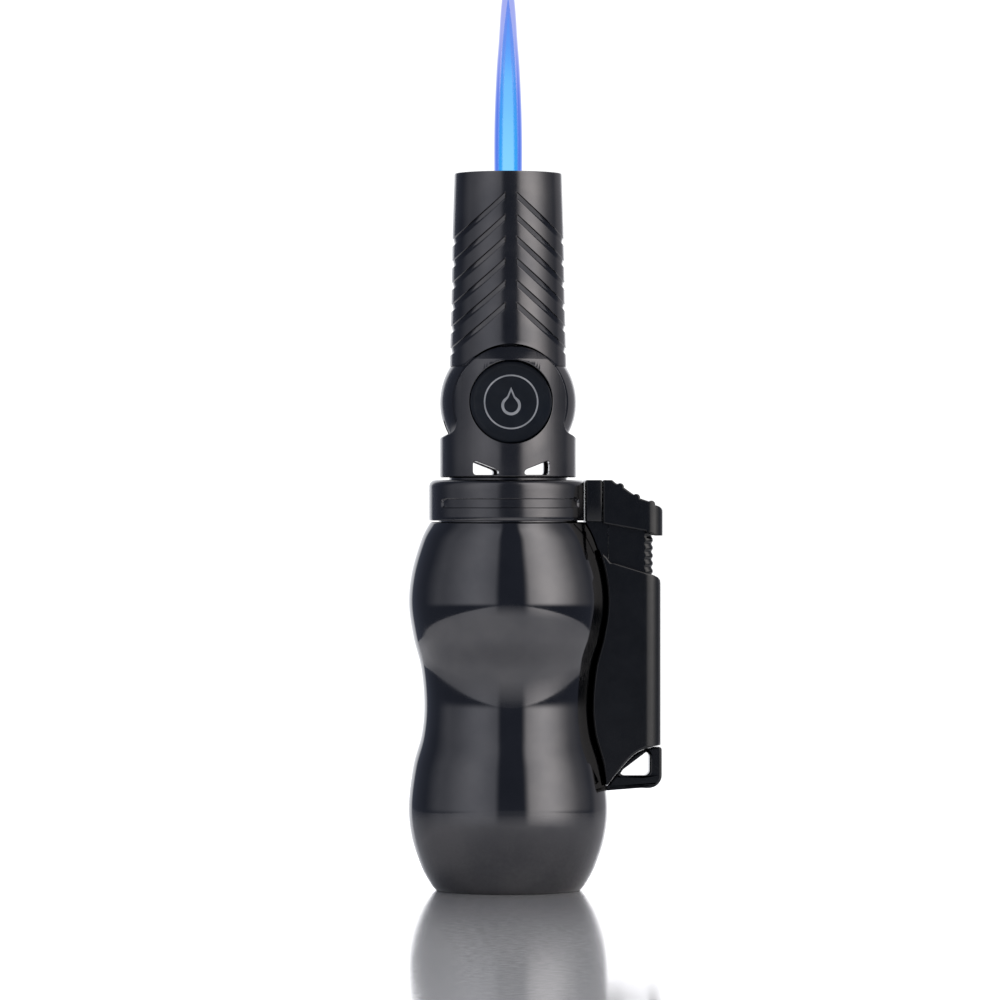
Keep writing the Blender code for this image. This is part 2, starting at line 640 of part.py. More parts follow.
def plan_outline(left, right, half, corner):
    """A plan outline that is square towards the body and has two round corners on the outside."""
    near = arc((right - corner, corner - half), corner, -90, 0, 6)
    far = arc((right - corner, half - corner), corner, 0, 90, 6)
    return [(left, -half), *near, *far, (left, half)]


def shell_side_block(name):
    """The body's side with room around it, seen from the front and as wide as the handle."""
    side = shell_outside(GAP, 2)
    outline = [(0, BODY_TOP + 2), (side[0][0], BODY_TOP + 2), *side, (side[-1][0], -2), (0, -2)]
    return slab(name, (outline,), -8, 8, None, "XZ")


def build_housing():
    """The housing is open at the top for the trigger's skirt, and where the body itself closes its back."""
    foot = smooth_line(HOUSING_FOOT, 3)
    outline = (
        (14, 20.2), *foot[::-1], (32, 28.2), (32, 60.3), (29.7, 60.3), (29.2, 61.0), (28.0, 61.6),
        (20.4, 64.0), (19.6, 64.1), (17.9, 66.2), (17.9, BODY_TOP), (14, BODY_TOP),
    )
    housing = slab("handle_housing", (outline,), -HOUSING_HALF, HOUSING_HALF, "black_plastic", "XZ")
    plan = plan_outline(10, HOUSING_RIGHT, HOUSING_HALF, HOUSING_CORNER)
    carve(housing, slab("housing_plan", (plan,), 10, 80, None), "INTERSECT")
    cavity_right = HANDLE_X + CAVITY_HALF
    lower = plan_outline(20.4, cavity_right, CAVITY_HALF, CAVITY_CORNER)
    upper = plan_outline(SPINE_RIGHT, cavity_right, CAVITY_HALF, CAVITY_CORNER)
    carve(housing, slab("housing_cavity_lower", (lower,), CAVITY_BOTTOM, 54, None))
    carve(housing, slab("housing_cavity_upper", (upper,), 53.2, 78, None))
    carve(housing, box("housing_spine", (14, -3.7, 60), (SPINE_RIGHT, 3.7, 71.3), None), "UNION")
    carve(housing, shell_side_block("shell_in_housing"))
    carve(housing, box("lever_slot_in_housing", (12, -LEVER_ROOM, 62.9), (20.7, LEVER_ROOM, 71.5), None))
    carve(housing, cylinder("wire_hole_in_housing", 0.9, 14, 21.5, None, ROUGH, (0, 0, 44), "X"))
    for label, height in HOUSING_SCREWS.items():
        seat = body_radius(height) - BODY_WALL - 0.4
        carve(housing, cylinder("screw_hole_in_housing", 1.0, 14, 19.9, None, ROUGH, (0, 0, height), "X"))
        screw = ((0, 19.6), (0.7, 19.6), (0.7, seat), (1.6, seat), (1.6, seat - 0.9), (0, seat - 0.9))
        turned(f"housing_screw_{label}", screw, "steel", ROUGH, (0, 0, height), "X")


def body_radius(height):
    line = smooth_line(BODY_KEYS, 4)
    for (above_radius, above), (radius, below) in zip(line, line[1:]):
        if below <= height <= above:
            return radius + (above_radius - radius) * (height - below) / (above - below)
    raise ValueError(f"no body at height {height}")


def build_loop():
    foot = [(across + 0.25, up - 0.25) for across, up in smooth_line(HOUSING_FOOT, 3)]
    outer = [
        (17.0, 19.9), *arc((27.6, 22.4), 2.5, -90, 0, 5), (30.1, 27.9), *foot,
    ]
    hole = [(27.6, 22.5), *smooth_line(((21.9, 22.5), (23.2, 24.2), (25.2, 26.1), (27.6, 27.2)), 2)]
    loop = slab("lanyard_loop", (outer, hole), -2, 2, "black_plastic", "XZ")
    carve(loop, shell_side_block("shell_in_loop"))


def build_trigger():
    """A ramp with three ribs over a skirt that slides in the housing, with room for the housing's spine."""
    ramp = [(20.6, 79.6)]
    for centre in ((21.6, 78.75), (24.75, 76.65), (27.7, 75.35)):
        ramp += arc(centre, 0.75, 125, -15, 5)
    outline = (
        (TRIGGER_LEFT, 71.6), (TRIGGER_LEFT, TRIGGER_TOP), (19.9, TRIGGER_TOP), *ramp, (29.6, 74.85),
        (TRIGGER_RIGHT, 74.1), (TRIGGER_RIGHT, 69.3), (28.2, 69.8), (19.2, 71.4),
    )
    trigger = slab("trigger", (outline,), -TRIGGER_HALF, TRIGGER_HALF, "black_plastic", "XZ")
    plan = plan_outline(15, TRIGGER_RIGHT, TRIGGER_HALF, TRIGGER_CORNER)
    carve(trigger, slab("trigger_plan", (plan,), 60, 90, None), "INTERSECT")
    skirt_right = HANDLE_X + SKIRT_HALF
    skirt_side = (
        (SKIRT_LEFT, 72.4), (SKIRT_LEFT, 66.0), (19.8, 62.0), (19.8, 58.5), (skirt_right + 1, 58.5),
        (skirt_right + 1, 72.4),
    )
    skirt = slab("skirt", (skirt_side,), -SKIRT_HALF - 1, SKIRT_HALF + 1, None, "XZ")
    skirt_plan = plan_outline(15, skirt_right, SKIRT_HALF, SKIRT_CORNER)
    carve(skirt, slab("skirt_plan", (skirt_plan,), 50, 80, None), "INTERSECT")
    carve(trigger, skirt, "UNION")
    carve(trigger, box("spine_room", (17, -SKIRT_HALF, 70), (SKIRT_LEFT, SKIRT_HALF, 76.6), None))
    carve(trigger, box("lever_notch", (19, -LEVER_ROOM, 57), (22.3, LEVER_ROOM, 70.9), None))
    carve(trigger, cylinder("spring_room", 2.9, 57, PLUNGER_TOP + GAP, None, COARSE, (HANDLE_X, 0, 0)))
    return trigger


def build_igniter():
    half = IGNITER_HALF
    body = box("igniter_body", (HANDLE_X - half, -half, IGNITER_BOTTOM), (HANDLE_X + half, half, IGNITER_TOP),
               "black_plastic")
    carve(body, cylinder("plunger_bore", 1.8, 41, 60, None, COARSE, (HANDLE_X, 0, 0)))
    plunger = cylinder("igniter_plunger", 1.5, 47.0, PLUNGER_TOP, "steel", COARSE, (HANDLE_X, 0, 0))
    coil("trigger_spring", 2.2, 0.25, IGNITER_TOP + 0.2, PLUNGER_TOP - 0.1, 4, (HANDLE_X, 0))
    return plunger


def main():
    build_body_shell()
    build_base()
    build_tank()
    build_fill_valve()
    build_flame_adjuster()
    build_gas_valve()
    build_valve_lever()
    build_top_cap()
    build_yoke()
    build_pivot_fittings()
    build_housing()
    build_loop()
    head = [build_ball(), build_barrel(), *build_burner(), *build_hose_and_wire()]
    joint_empty("barrel_tilt_axis", (0, 0, PIVOT_Z), head)
    trigger = build_trigger()
    joint_empty("trigger_axis", (HANDLE_X, 0, 65), (trigger, build_igniter()))


clear_scene()
PARTS = new_collection("butane_torch")
CUTTERS = new_collection("cutters")
main()
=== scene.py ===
"""Looks of the butane torch: fine metal skins, moulded plastic, studio light and the flame.

Positions are metres in the CAD frame. Sizes below are millimetres, and the helpers turn them into metres.
"""

import math

import bmesh
import bpy
import numpy as np
from mathutils import Matrix, Vector


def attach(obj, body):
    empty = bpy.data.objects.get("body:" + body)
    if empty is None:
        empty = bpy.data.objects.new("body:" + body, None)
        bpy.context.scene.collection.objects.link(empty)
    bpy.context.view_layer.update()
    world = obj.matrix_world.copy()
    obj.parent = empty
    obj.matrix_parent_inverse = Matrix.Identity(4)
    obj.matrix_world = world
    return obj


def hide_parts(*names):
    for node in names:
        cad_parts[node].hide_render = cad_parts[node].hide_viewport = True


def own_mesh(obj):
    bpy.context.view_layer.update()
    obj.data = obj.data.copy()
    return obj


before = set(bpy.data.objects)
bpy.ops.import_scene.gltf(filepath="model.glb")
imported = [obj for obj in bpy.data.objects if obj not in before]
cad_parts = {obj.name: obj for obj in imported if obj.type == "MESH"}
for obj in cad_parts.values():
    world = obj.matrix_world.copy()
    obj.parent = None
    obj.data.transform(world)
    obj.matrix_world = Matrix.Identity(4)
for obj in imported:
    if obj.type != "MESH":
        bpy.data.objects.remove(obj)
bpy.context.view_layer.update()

MM = 0.001
GAP = 0.3
BODY = "torch_body"
HEAD = "burner_head"
TRIGGER = "trigger"

# Driving sizes, which repeat the CAD model's.
BODY_KEYS = (
    (15.2, 71.9), (16.9, 68.6), (18.8, 62.2), (19.4, 55.9), (18.5, 49.4), (17.0, 43.4), (16.4, 36.4),
    (16.9, 30.4), (18.5, 24.4), (19.45, 16.8), (18.9, 10.6), (17.0, 4.7), (15.1, 1.2), (14.1, 0.0),
)
BODY_TOP = 71.9
BODY_WALL = 1.0
CAP_BOTTOM = 72.2
CAP_TOP = 80.1
CAP_RADIUS = 15.45
YOKE_RADIUS = 13.3
YOKE_BOTTOM = 80.6
YOKE_FLOOR = 80.9
SPIGOT_RADIUS = 11.5
PIVOT_Z = 95.2
EAR_RADIUS = 10.95
EAR_INSIDE = 7.2
BALL_RADIUS = 13.3
BALL_HALF = 6.95
SLOT_HALF = 2.3
COVER_RADIUS = 7.95
COVER_FACE = 10.6
COVER_FLOOR = 9.8
PIN_RADIUS = 1.9
BARREL_TOP = 140.0
BARREL_BORE = 9.2
BARREL_SIDE = ((10.5, 139.6), (10.85, 129.0), (11.1, 115.0), (11.4, 103.0), (11.4, 101.9))
BAND_HALF = 13.5
BAND_TOP = 76.5
BAND_LOW = 74.6
BAND_DEPTH = 0.35
GROOVE_TOP = 136.1
GROOVE_PITCH = 4.27
GROOVE_COUNT = 6
GROOVE_HEIGHT = 1.6
GROOVE_DEPTH = 0.6
GROOVE_DROP = 0.88
SPINE_HALF = 1.0
HANDLE_X = 24.2
FILL_X = -6.2
HOUSING_HALF = 5.5
HOUSING_RIGHT = 29.7
HOUSING_CORNER = 3.2
CAVITY_HALF = 4.4
CAVITY_CORNER = 2.1
CAVITY_BOTTOM = 29.0
SKIRT_HALF = 4.0
SKIRT_CORNER = 1.8
SKIRT_LEFT = 19.4
SPINE_RIGHT = 19.3
TRIGGER_HALF = 5.2
TRIGGER_CORNER = 3.0
TRIGGER_LEFT = 18.2
TRIGGER_RIGHT = 30.1
TRIGGER_TOP = 80.1
PLUNGER_TOP = 63.7
LEVER_ROOM = 2.2
# How far the handle stands off the body's side. Below zero it reaches in, so that no gap shows.
SEAM = -0.2
HOUSING_FOOT = ((28.1, 28.2), (24.5, 26.8), (20.6, 22.6), (18.8, 20.2))

# Lights, in degrees. Azimuth is 0 towards the camera and grows towards +X. A panel's numbers are its
# left, its right, its peak, its soft left and right edges, its low and its high.
LEFT_PANEL = (-118.0, -12.0, -42.0, 30.0, 8.0, -3.0, 62.0)
LEFT_LEVEL = (0.40, 0.62)
RIGHT_PANEL = (14.0, 122.0, 46.0, 10.0, 46.0, -3.0, 62.0)
RIGHT_LEVEL = (0.60, 2.6)
REAR_START = 150.0
DARK_COLOUR = (0.15, 0.17, 0.23)

# The wall at the right: where it begins and is full, in degrees, and its level.
SIDE_WALL = (108.0, 122.0, 0.34)


# ---------------------------------------------------------------- shape helpers

def smooth_line(keys, parts):
    """Points of a Catmull-Rom curve through the keys, with the same number of parts in each span."""
    padded = [keys[0], *keys, keys[-1]]
    line = []
    for before, start, end, after in zip(padded, padded[1:], padded[2:], padded[3:]):
        for index in range(parts):
            line.append(tuple(catmull(index / parts, *values) for values in zip(before, start, end, after)))
    line.append(tuple(keys[-1]))
    return line


def catmull(t, before, start, end, after):
    pull = 2 * before - 5 * start + 4 * end - after
    swing = 3 * start - before - 3 * end + after
    return 0.5 * (2 * start + (end - before) * t + pull * t * t + swing * t ** 3)


def arc(centre, radius, first, last, steps):
    """Points on a circle between two angles in degrees."""
    line = []
    for index in range(steps + 1):
        angle = math.radians(first + (last - first) * index / steps)
        line.append((centre[0] + radius * math.cos(angle), centre[1] + radius * math.sin(angle)))
    return line


def toward(corner, other, distance):
    length = math.dist(corner, other)
    share = min(distance, length * 0.45) / length
    return tuple(a + (b - a) * share for a, b in zip(corner, other))


def rounded(outline, radius, steps=5):
    """The same closed outline with each corner replaced by a short curve."""
    line = []
    count = len(outline)
    for index, corner in enumerate(outline):
        start = toward(corner, outline[index - 1], radius)
        end = toward(corner, outline[(index + 1) % count], radius)
        for step in range(steps + 1):
            t = step / steps
            line.append(tuple((1 - t) ** 2 * a + 2 * t * (1 - t) * b + t * t * c
                              for a, b, c in zip(start, corner, end)))
    return line


def link(name, data):
    made = bpy.data.objects.new(name, data)
    bpy.context.scene.collection.objects.link(made)
    return made


def finished(name, shape):
    """The object made from a bmesh, which is then freed."""
    mesh = bpy.data.meshes.new(name)
    shape.to_mesh(mesh)
    shape.free()
    return link(name, mesh)


def place_along(centre, along):
    """The matrix that puts an object's own +Z along a world axis at a centre in millimetres."""
    quarter = math.pi / 2
    turn = {
        "Z": Matrix.Identity(4), "Y": Matrix.Rotation(-quarter, 4, "X"),
        "-Y": Matrix.Rotation(quarter, 4, "X"), "X": Matrix.Rotation(quarter, 4, "Y"),
    }[along]
    return Matrix.Translation([value * MM for value in centre]) @ turn


def turned(name, profile, steps, centre=(0, 0, 0), along="Z", ring=False):
    """Spin a profile of (radius, height) points, listed from the top down the outer side."""
    shape = bmesh.new()
    rows = []
    for radius, height in profile:
        if radius < 1e-6:
            rows.append([shape.verts.new((0, 0, height * MM))])
            continue
        angles = (2 * math.pi * step / steps for step in range(steps))
        rows.append([shape.verts.new((radius * MM * math.cos(a), radius * MM * math.sin(a), height * MM))
                     for a in angles])
    pairs = list(zip(rows, rows[1:]))
    if ring:
        pairs.append((rows[-1], rows[0]))
    for upper, lower in pairs:
        for step in range(steps):
            following = (step + 1) % steps
            corners = [upper[step % len(upper)], lower[step % len(lower)],
                       lower[following % len(lower)], upper[following % len(upper)]]
            corners = list(dict.fromkeys(corners))
            if len(corners) > 2:
                shape.faces.new(corners)
    made = finished(name, shape)
    made.data.transform(place_along(centre, along))
    return made


def rod(name, radius, low, high, steps, centre=(0, 0, 0), along="Z"):
    return turned(name, ((0, high), (radius, high), (radius, low), (0, low)), steps, centre, along)


def block(name, low, high):
    shape = bmesh.new()
    bmesh.ops.create_cube(shape, size=1.0)
    bmesh.ops.scale(shape, vec=[(b - a) * MM for a, b in zip(low, high)], verts=shape.verts)
    bmesh.ops.translate(shape, vec=[(b + a) / 2 * MM for a, b in zip(low, high)], verts=shape.verts)
    return finished(name, shape)


def slab(name, outlines, low, high, plane="XY"):
    """Extrude closed outlines: XY ones rise along Z and XZ ones run along Y, from low to high."""
    curve = bpy.data.curves.new(name, "CURVE")
    curve.dimensions = "2D"
    curve.fill_mode = "BOTH"
    curve.extrude = (high - low) / 2 * MM
    for outline in outlines:
        spline = curve.splines.new("POLY")
        spline.points.add(len(outline) - 1)
        spline.use_cyclic_u = True
        for point, (across, up) in zip(spline.points, outline):
            point.co = (across * MM, up * MM, 0, 1)
    middle = (low + high) / 2
    if plane == "XZ":
        place = place_along((0, middle, 0), "-Y")
    else:
        place = place_along((0, 0, middle), "Z")
    mesh = mesh_of(link(name, curve))
    mesh.transform(place)
    return link(name, mesh)


def mesh_of(made):
    """The evaluated mesh of an object, welded, and the object removed."""
    bpy.context.view_layer.update()
    evaluated = made.evaluated_get(bpy.context.evaluated_depsgraph_get())
    mesh = bpy.data.meshes.new_from_object(evaluated)
    mesh.transform(made.matrix_world)
    mesh.materials.clear()
    shape = bmesh.new()
    shape.from_mesh(mesh)
    bmesh.ops.remove_doubles(shape, verts=shape.verts, dist=1e-7)
    bmesh.ops.recalc_face_normals(shape, faces=shape.faces)
    shape.to_mesh(mesh)
    shape.free()
    bpy.data.objects.remove(made, do_unlink=True)
    return mesh


def wire(name, route, radius, sides=3):
    """A round wire or hose along a route of points, with closed ends, as a mesh."""
    curve = bpy.data.curves.new(name, "CURVE")
    curve.dimensions = "3D"
    curve.bevel_depth = radius * MM
    curve.bevel_resolution = sides
    curve.use_fill_caps = True
    spline = curve.splines.new("POLY")
    spline.points.add(len(route) - 1)
    for point, at in zip(spline.points, route):
        point.co = (*[value * MM for value in at], 1)
    return link(name, mesh_of(link(name, curve)))


def apply_modifiers(made):
    bpy.context.view_layer.update()
    mesh = bpy.data.meshes.new_from_object(made.evaluated_get(bpy.context.evaluated_depsgraph_get()))
    made.modifiers.clear()
    made.data = mesh
    return made


def carve(made, tool, operation="DIFFERENCE", solver="EXACT"):
    """Cut, join or intersect, apply the result at once, and remove the tool."""
    step = made.modifiers.new(tool.name, "BOOLEAN")
    step.operation = operation
    step.object = tool
    step.solver = solver
    apply_modifiers(made)
    bpy.data.objects.remove(tool, do_unlink=True)
    return made


def soften(made, width, angle=35, segments=2, weld=0.03):
    """Round the edges that turn by more than the angle, after very short edges are welded."""
    shape = bmesh.new()
    shape.from_mesh(made.data)
    bmesh.ops.remove_doubles(shape, verts=shape.verts, dist=weld * MM)
    bmesh.ops.dissolve_degenerate(shape, dist=weld * MM / 2, edges=shape.edges)
    shape.to_mesh(made.data)
    shape.free()
    step = made.modifiers.new("Round edges", "BEVEL")
    step.width = width * MM
    step.segments = segments
    step.limit_method = "ANGLE"
    step.angle_limit = math.radians(angle)
    step.use_clamp_overlap = False
    return apply_modifiers(made)


def even_shading(made, angle=40):
    """Let the large faces decide the shading at each corner, so that the narrow ones don't bend it."""
    made.data.shade_smooth()
    made.data.set_sharp_from_angle(angle=math.radians(angle))
    step = made.modifiers.new("Even shading", "WEIGHTED_NORMAL")
    step.weight = 100
    step.keep_sharp = True
    return apply_modifiers(made)


def dress(made, body, material, nodes=(), angle=28, even=False):
    """Shade a finished piece, give it its material and body, and hide the CAD nodes it stands for."""
    if even:
        even_shading(made, angle)
    else:
        made.data.shade_smooth()
        made.data.set_sharp_from_angle(angle=math.radians(angle))
    made.data.materials.clear()
    made.data.materials.append(material)
    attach(made, body)
    if nodes:
        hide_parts(*nodes)
    return made


# ---------------------------------------------------------------- materials

def node_tree(name):
    made = bpy.data.materials.new(name)
    made.use_nodes = True
    tree = made.node_tree
    return made, tree, tree.nodes["Principled BSDF"]


def feed(tree, socket, value):
    """Set a node's input to a number, or link another node's output to it."""
    if isinstance(value, (int, float)):
        socket.default_value = value
    else:
        tree.links.new(value, socket)


def maths(tree, operation, *values):
    made = tree.nodes.new("ShaderNodeMath")
    made.operation = operation
    for socket, value in zip(made.inputs, values):
        feed(tree, socket, value)
    return made.outputs["Value"]


def eased(tree, value, start, end, low=0.0, high=1.0):
    """A number that moves smoothly from low to high while the value goes from start to end."""
    made = tree.nodes.new("ShaderNodeMapRange")
    made.interpolation_type = "SMOOTHSTEP"
    names = ("Value", "From Min", "From Max", "To Min", "To Max")
    for name, given in zip(names, (value, start, end, low, high)):
        feed(tree, made.inputs[name], given)
    return made.outputs["Result"]


def mixed(tree, factor, first, second):
    """The first shader where the factor is 0, and the second where it is 1."""
    made = tree.nodes.new("ShaderNodeMixShader")
    for socket, value in zip(made.inputs, (factor, first, second)):
        tree.links.new(value, socket)
    return made.outputs["Shader"]


def noise(tree, size, detail=4.0, stretch=(1, 1, 1), rough=0.55):
    """Noise whose features are about the given size in millimetres, fixed to the piece."""
    where = tree.nodes.new("ShaderNodeTexCoord")
    scaled = tree.nodes.new("ShaderNodeMapping")
    scaled.inputs["Scale"].default_value = [value / (size * MM) for value in stretch]
    made = tree.nodes.new("ShaderNodeTexNoise")
    made.inputs["Scale"].default_value = 1.0
    made.inputs["Detail"].default_value = detail
    made.inputs["Roughness"].default_value = rough
    tree.links.new(where.outputs["Object"], scaled.inputs["Vector"])
    tree.links.new(scaled.outputs["Vector"], made.inputs["Vector"])
    return made.outputs["Fac"]


def ramp(tree, factor, low, high, start=0.35, end=0.65):
    """Two colours that follow a factor."""
    made = tree.nodes.new("ShaderNodeValToRGB")
    made.color_ramp.elements[0].position = start
    made.color_ramp.elements[0].color = (*low, 1)
    made.color_ramp.elements[1].position = end
    made.color_ramp.elements[1].color = (*high, 1)
    tree.links.new(factor, made.inputs["Fac"])
    return made.outputs["Color"]


def spread(tree, factor, low, high):
    """A number between low and high that follows a factor."""
    made = tree.nodes.new("ShaderNodeMapRange")
    made.inputs["From Min"].default_value = 0.3
    made.inputs["From Max"].default_value = 0.7
    made.inputs["To Min"].default_value = low
    made.inputs["To Max"].default_value = high
    tree.links.new(factor, made.inputs["Value"])
    return made.outputs["Result"]


def bump(tree, height, depth, strength=1.0):
    made = tree.nodes.new("ShaderNodeBump")
    made.inputs["Strength"].default_value = strength
    made.inputs["Distance"].default_value = depth * MM
    tree.links.new(height, made.inputs["Height"])
    return made.outputs["Normal"]


def plated_metal(name, low, high, rough, grain, depth, stretch=(1, 1, 1)):
    """Metal with a cloudy tint, a wandering polish and a fine skin."""
    made, tree, shader = node_tree(name)
    shader.inputs["Metallic"].default_value = 1.0
    tree.links.new(ramp(tree, noise(tree, 9.0, 3.0), low, high), shader.inputs["Base Color"])
    tree.links.new(spread(tree, noise(tree, 3.5, 6.0), *rough), shader.inputs["Roughness"])
    tree.links.new(bump(tree, noise(tree, grain, 5.0, stretch), depth), shader.inputs["Normal"])
    return made


def moulded_plastic(name, low, high, rough, grain, depth, specular=0.5):
    """Plastic with a fine moulded grain and slightly uneven gloss."""
    made, tree, shader = node_tree(name)
    shader.inputs["Specular IOR Level"].default_value = specular
    tree.links.new(ramp(tree, noise(tree, 4.0, 4.0), low, high), shader.inputs["Base Color"])
    tree.links.new(spread(tree, noise(tree, 1.6, 5.0), *rough), shader.inputs["Roughness"])
    tree.links.new(bump(tree, noise(tree, grain, 3.0), depth, 0.6), shader.inputs["Normal"])
    return made


POLISHED = plated_metal("polished_gunmetal", (0.070, 0.070, 0.074), (0.084, 0.083, 0.086),
                        (0.055, 0.085), 2.2, 0.0006)
SATIN = plated_metal("satin_gunmetal", (0.066, 0.066, 0.070), (0.088, 0.086, 0.088),
                     (0.14, 0.21), 0.35, 0.0016)
STEEL = plated_metal("turned_steel", (0.46, 0.47, 0.49), (0.62, 0.62, 0.63), (0.20, 0.34), 0.25, 0.002,
                     (1, 1, 6))
BRASS = plated_metal("machined_brass", (0.58, 0.40, 0.15), (0.78, 0.57, 0.26), (0.20, 0.36), 0.3, 0.002,
                     (1, 1, 6))
PLASTIC = moulded_plastic("black_plastic", (0.0022, 0.0027, 0.0036), (0.0036, 0.0042, 0.0054),
                          (0.13, 0.18), 0.22, 0.0014, 0.36)
COVER = moulded_plastic("satin_black_cover", (0.0034, 0.0052, 0.0088), (0.0052, 0.0076, 0.0120),
                        (0.30, 0.40), 0.16, 0.0018, 0.2)
BASE = moulded_plastic("satin_black_base", (0.008, 0.008, 0.009), (0.014, 0.014, 0.016),
                       (0.42, 0.58), 0.18, 0.004, 0.4)
PRINT = moulded_plastic("grey_print", (0.16, 0.17, 0.185), (0.27, 0.28, 0.295), (0.38, 0.5), 0.2, 0.001)
TANK = moulded_plastic("tank_plastic", (0.50, 0.53, 0.55), (0.60, 0.63, 0.65), (0.28, 0.4), 0.4, 0.003)
RUBBER = moulded_plastic("hose_rubber", (0.014, 0.014, 0.014), (0.026, 0.025, 0.024),
                         (0.65, 0.8), 0.15, 0.01)
WIRE = moulded_plastic("wire_cover", (0.26, 0.018, 0.018), (0.36, 0.030, 0.026), (0.36, 0.48), 0.2, 0.002)
CERAMIC = moulded_plastic("white_ceramic", (0.74, 0.73, 0.69), (0.84, 0.83, 0.80), (0.3, 0.45), 0.2, 0.003)

FINISHES = {
    POLISHED: ("body_shell",),
    SATIN: ("top_cap", "pivot_yoke", "ball_knuckle", "nozzle_barrel"),
    PLASTIC: ("handle_housing", "trigger", "trigger_guide", "lanyard_loop", "igniter_body"),
    COVER: ("pivot_cover_front", "pivot_cover_rear"),
    BASE: ("base_plate",),
    STEEL: (
        "base_screw_left", "base_screw_right", "cap_screw_1", "cap_screw_2", "cap_screw_3", "valve_lever",
        "lever_pin", "pivot_screw_front", "pivot_screw_rear", "pivot_washer_front", "pivot_washer_rear",
        "housing_screw_upper", "housing_screw_lower", "burner_tube", "burner_holder", "electrode",
        "igniter_plunger", "trigger_spring", "gas_valve_spring", "fill_valve_spring",
    ),
    BRASS: (
        "fill_valve_body", "fill_valve_stem", "flame_adjuster", "gas_valve_body", "gas_valve_stem",
        "flame_nozzle", "gas_jet",
    ),
    TANK: ("fuel_tank", "tank_lid"),
    RUBBER: ("gas_hose_lower", "gas_hose_upper"),
    WIRE: ("igniter_wire_lower", "igniter_wire_upper"),
    CERAMIC: ("electrode_insulator",),
}


def finish_cad_nodes():
    for material, names in FINISHES.items():
        for name in names:
            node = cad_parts[name]
            node.data.materials.clear()
            node.data.materials.append(material)
            node.data.shade_smooth()
            node.data.set_sharp_from_angle(angle=math.radians(30))


# ---------------------------------------------------------------- body, cap and yoke

def body_line(parts):
    return smooth_line(BODY_KEYS, parts)


BODY_SIDE = body_line(8)


def make_shell():
    """The polished hourglass body, with a wall and the slot that the valve lever comes through."""
    outside = [(15.0, BODY_TOP), (15.14, BODY_TOP - 0.06), *body_line(12)[1:-1], (14.16, 0.05), (14.0, 0)]
    inside = [(radius - BODY_WALL, height) for radius, height in body_line(4)]
    inside = [(14.2, BODY_TOP), *inside[1:-1], (13.1, 0)]
    shell = turned("shell_skin", outside + inside[::-1], 180, ring=True)
    carve(shell, block("lever_slot", (12, -LEVER_ROOM, 62.9), (19, LEVER_ROOM, 70.9)))
    carve(shell, rod("wire_hole", 0.9, 14, 19.5, 24, (0, 0, 44), "X"))
    for height in (38.0, 28.0):
        carve(shell, rod("screw_hole", 1.1, 14, 20, 24, (0, 0, height), "X"))
    dress(shell, BODY, POLISHED, ("body_shell",))


def band_depth(across, height):
    """How deep the cap's band is sunk at a point, with a small round at its edges and corners."""
    corner = 0.8
    inset = [BAND_HALF - abs(across), min(BAND_TOP - height, height - BAND_LOW)]
    edge = min(inset)
    if max(inset) < corner or (inset[0] < corner and inset[1] < corner):
        edge = corner - math.hypot(corner - inset[0], corner - inset[1])
    return BAND_DEPTH * ease(edge / 0.16)


def make_cap():
    """The cap over the body, with a band sunk in its front and back and a flat for the trigger guide."""
    plug = 13.6
    # Columns stand closer together where the band ends.
    near_band_end = (
        12.95, 13.05, 13.15, 13.22, 13.28, 13.34, 13.4, 13.46, 13.52, 13.6, 13.8, 14.1, 14.5, 14.9, 15.2,
        15.38,
    )
    dome = [(13.5, CAP_TOP), *arc((14.15, 78.8), 1.3, 90, 0, 10)]
    band_edges = (
        78.2, BAND_TOP + 0.4, BAND_TOP + 0.04, BAND_TOP - 0.04, BAND_TOP - 0.09, BAND_TOP - 0.16,
        BAND_TOP - 0.4, (BAND_TOP + BAND_LOW) / 2, BAND_LOW + 0.4, BAND_LOW + 0.16, BAND_LOW + 0.09,
        BAND_LOW + 0.04, BAND_LOW - 0.04, BAND_LOW - 0.4, 73.0, CAP_BOTTOM + 0.2,
    )
    side = [(CAP_RADIUS, height) for height in band_edges]
    under = [
        (CAP_RADIUS - 0.05, CAP_BOTTOM + 0.07), (CAP_RADIUS - 0.2, CAP_BOTTOM), (plug, CAP_BOTTOM),
        (plug, 70.4), (plug - 1.2, 70.4), (plug - 1.2, CAP_BOTTOM), (4.6, CAP_BOTTOM), (4.6, 78.6),
        (SPIGOT_RADIUS + GAP, 78.6), (SPIGOT_RADIUS + GAP, 79.95), (SPIGOT_RADIUS + 0.45, CAP_TOP),
    ]
    quarter = [math.radians(value) for value in np.arange(0.0, 56.0, 2.0)]
    quarter += [math.asin(across / CAP_RADIUS) for across in near_band_end]
    half = [-angle for angle in quarter[:0:-1]] + quarter
    angles = [*half, math.pi / 2, *[math.pi + angle for angle in half], -math.pi / 2]
    profile = dome + side + under
    shape = bmesh.new()
    columns = []
    for angle in angles:
        column = []
        for radius, height in profile:
            reach = radius
            if radius == CAP_RADIUS:
                reach -= band_depth(radius * math.sin(angle), height)
            x = reach * math.sin(angle)
            y = -reach * math.cos(angle)
            if abs(y) < 5.3:
                x = min(x, 14.6)
            column.append(shape.verts.new((x * MM, y * MM, height * MM)))
        columns.append(column)
    cap = close_columns("cap_skin", shape, columns)
    for index in range(3):
        angle = math.radians(90 + 120 * index)
        place = (8.2 * math.cos(angle), 8.2 * math.sin(angle), 0)
        sunk = ((0, 80), (1.3, 80), (1.3, 74.4), (2.3, 74.4), (2.3, 70), (0, 70))
        carve(cap, turned("screw_hole", sunk, 24, place))
    dress(cap, BODY, SATIN, ("top_cap",), 30)


